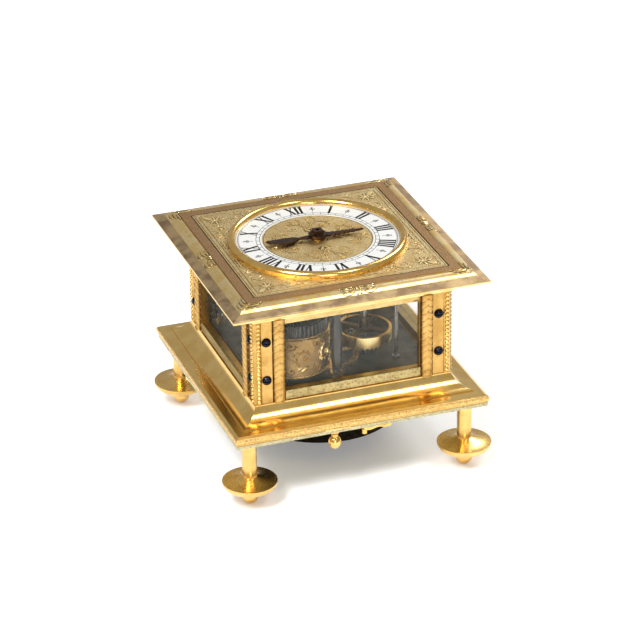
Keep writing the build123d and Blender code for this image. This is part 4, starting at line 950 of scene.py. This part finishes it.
arc_length = 2 * np.pi * DRUM_RADIUS
repeat_length = arc_length / REPEATS
drum_strokes = []
for number in range(REPEATS):
    start = repeat_length * number
    middle = (start, (DRUM_FOOT + DRUM_HEAD) / 2)
    sense = 1 if number % 2 else -1
    drum_strokes += frond(middle, 5.4, sense * 1.2, sense, 8)
    drum_strokes += frond((start + repeat_length / 2, DRUM_HEAD - 4.2), 2.2, 0.5, -sense, 5)
    drum_strokes += frond((start + repeat_length / 2, DRUM_FOOT + 4.2), 2.2, 2.5, sense, 5)
    for height in (DRUM_FOOT + 1.0, DRUM_HEAD - 1.0):
        line = np.stack((start + along * repeat_length, np.full(STROKE_POINTS, height)), 1)
        drum_strokes.append(stroke(line, np.full(STROKE_POINTS, 0.4)))
# painted shade: the low edges of the barrel's foliage are darkened towards HOLLOW
drum_leaf = gilt("drum_leaf", GOLD_PALE, GOLD, GOLD_DEEP, 0.20,
                 crest=drum_crest(DRUM_MIDDLE, DRUM_RADIUS, DRUM_RADIUS + 0.3))
relief("barrel_engraving", drum_strokes, on_drum, DRUM_RELIEF, drum_leaf, "barrel", "engraved_gilt")
print("strokes round the barrel:", len(drum_strokes))

# %% [markdown]
# ## Floor, world and light
# The clock stands on a white floor. The world is a dome that lights it softly, at less than half
# strength; the camera sees it at full strength, directly and through the panes. The key lamp and
# the rim lamp light the whole. The two others put a highlight on the cove and light the window.

# %% Studio
FLOOR_HALF = 3.0
DOME_LIGHT = 0.44
DOME_SEEN = 1.0

floor_recipe = Recipe(
    "floor_white", metallic=0.0, Roughness=0.9, Emission_Color=(1, 1, 1, 1), Emission_Strength=0.17
)
floor_tone = floor_recipe.blend(floor_recipe.noise(400.0, 1.0), (0.93, 0.93, 0.93), (0.91, 0.91, 0.91))
floor_recipe.feed("Base Color", floor_tone)
floor_corners = [(x * FLOOR_HALF, y * FLOOR_HALF, 0) for x, y in ((-1, -1), (1, -1), (1, 1), (-1, 1))]
floor_mesh = bpy.data.meshes.new("floor")
floor_mesh.from_pydata(floor_corners, [], [(0, 1, 2, 3)])
floor_mesh.materials.append(floor_recipe.material)
floor = bpy.data.objects.new("floor", floor_mesh)
bpy.context.collection.objects.link(floor)

world = bpy.data.worlds.new("studio")
world.use_nodes = True
bpy.context.scene.world = world
tree = world.node_tree
dome = tree.nodes["Background"]
rays = tree.nodes.new("ShaderNodeLightPath")
seen = tree.nodes.new("ShaderNodeMath")
seen.operation = "MAXIMUM"
tree.links.new(rays.outputs["Is Camera Ray"], seen.inputs[0])
tree.links.new(rays.outputs["Is Transmission Ray"], seen.inputs[1])
strength = tree.nodes.new("ShaderNodeMapRange")
strength.inputs["To Min"].default_value = DOME_LIGHT
strength.inputs["To Max"].default_value = DOME_SEEN
tree.links.new(seen.outputs[0], strength.inputs["Value"])
tree.links.new(strength.outputs[0], dome.inputs["Strength"])
dome.inputs["Color"].default_value = (1.0, 1.0, 1.0, 1.0)


def softbox(name, place, target, width, power):
    """A square area lamp that faces a point: its z axis runs from the target to the lamp."""
    data = bpy.data.lights.new(name, "AREA")
    data.size = width
    data.energy = power
    lamp = bpy.data.objects.new(name, data)
    bpy.context.collection.objects.link(lamp)
    outward = np.asarray(place, float) - np.asarray(target, float)
    outward /= np.linalg.norm(outward)
    sideways = np.cross((0, 0, 1.0), outward)
    sideways /= np.linalg.norm(sideways)
    stand = np.eye(4)
    stand[:3] = np.stack((sideways, np.cross(outward, sideways), outward, place), axis=1)
    lamp.matrix_world = Matrix(stand.tolist())


softbox("key", (-0.7, -0.5, 1.1), (0, 0, 0.05), 0.45, 17.0)
softbox("cove", (0.34, -0.52, 1.0), (0, 0, 0.05), 0.28, 3.0)
softbox("window", (-0.15, -1.15, 0.40), (0, 0, 0.07), 0.35, 2.6)
softbox("rim", (0.8, 0.6, 0.9), (0, 0, 0.05), 0.45, 7.0)

print("lamps:", len(bpy.data.lights))

# %% [markdown]
# The added pieces have to stay inside the solids' box.
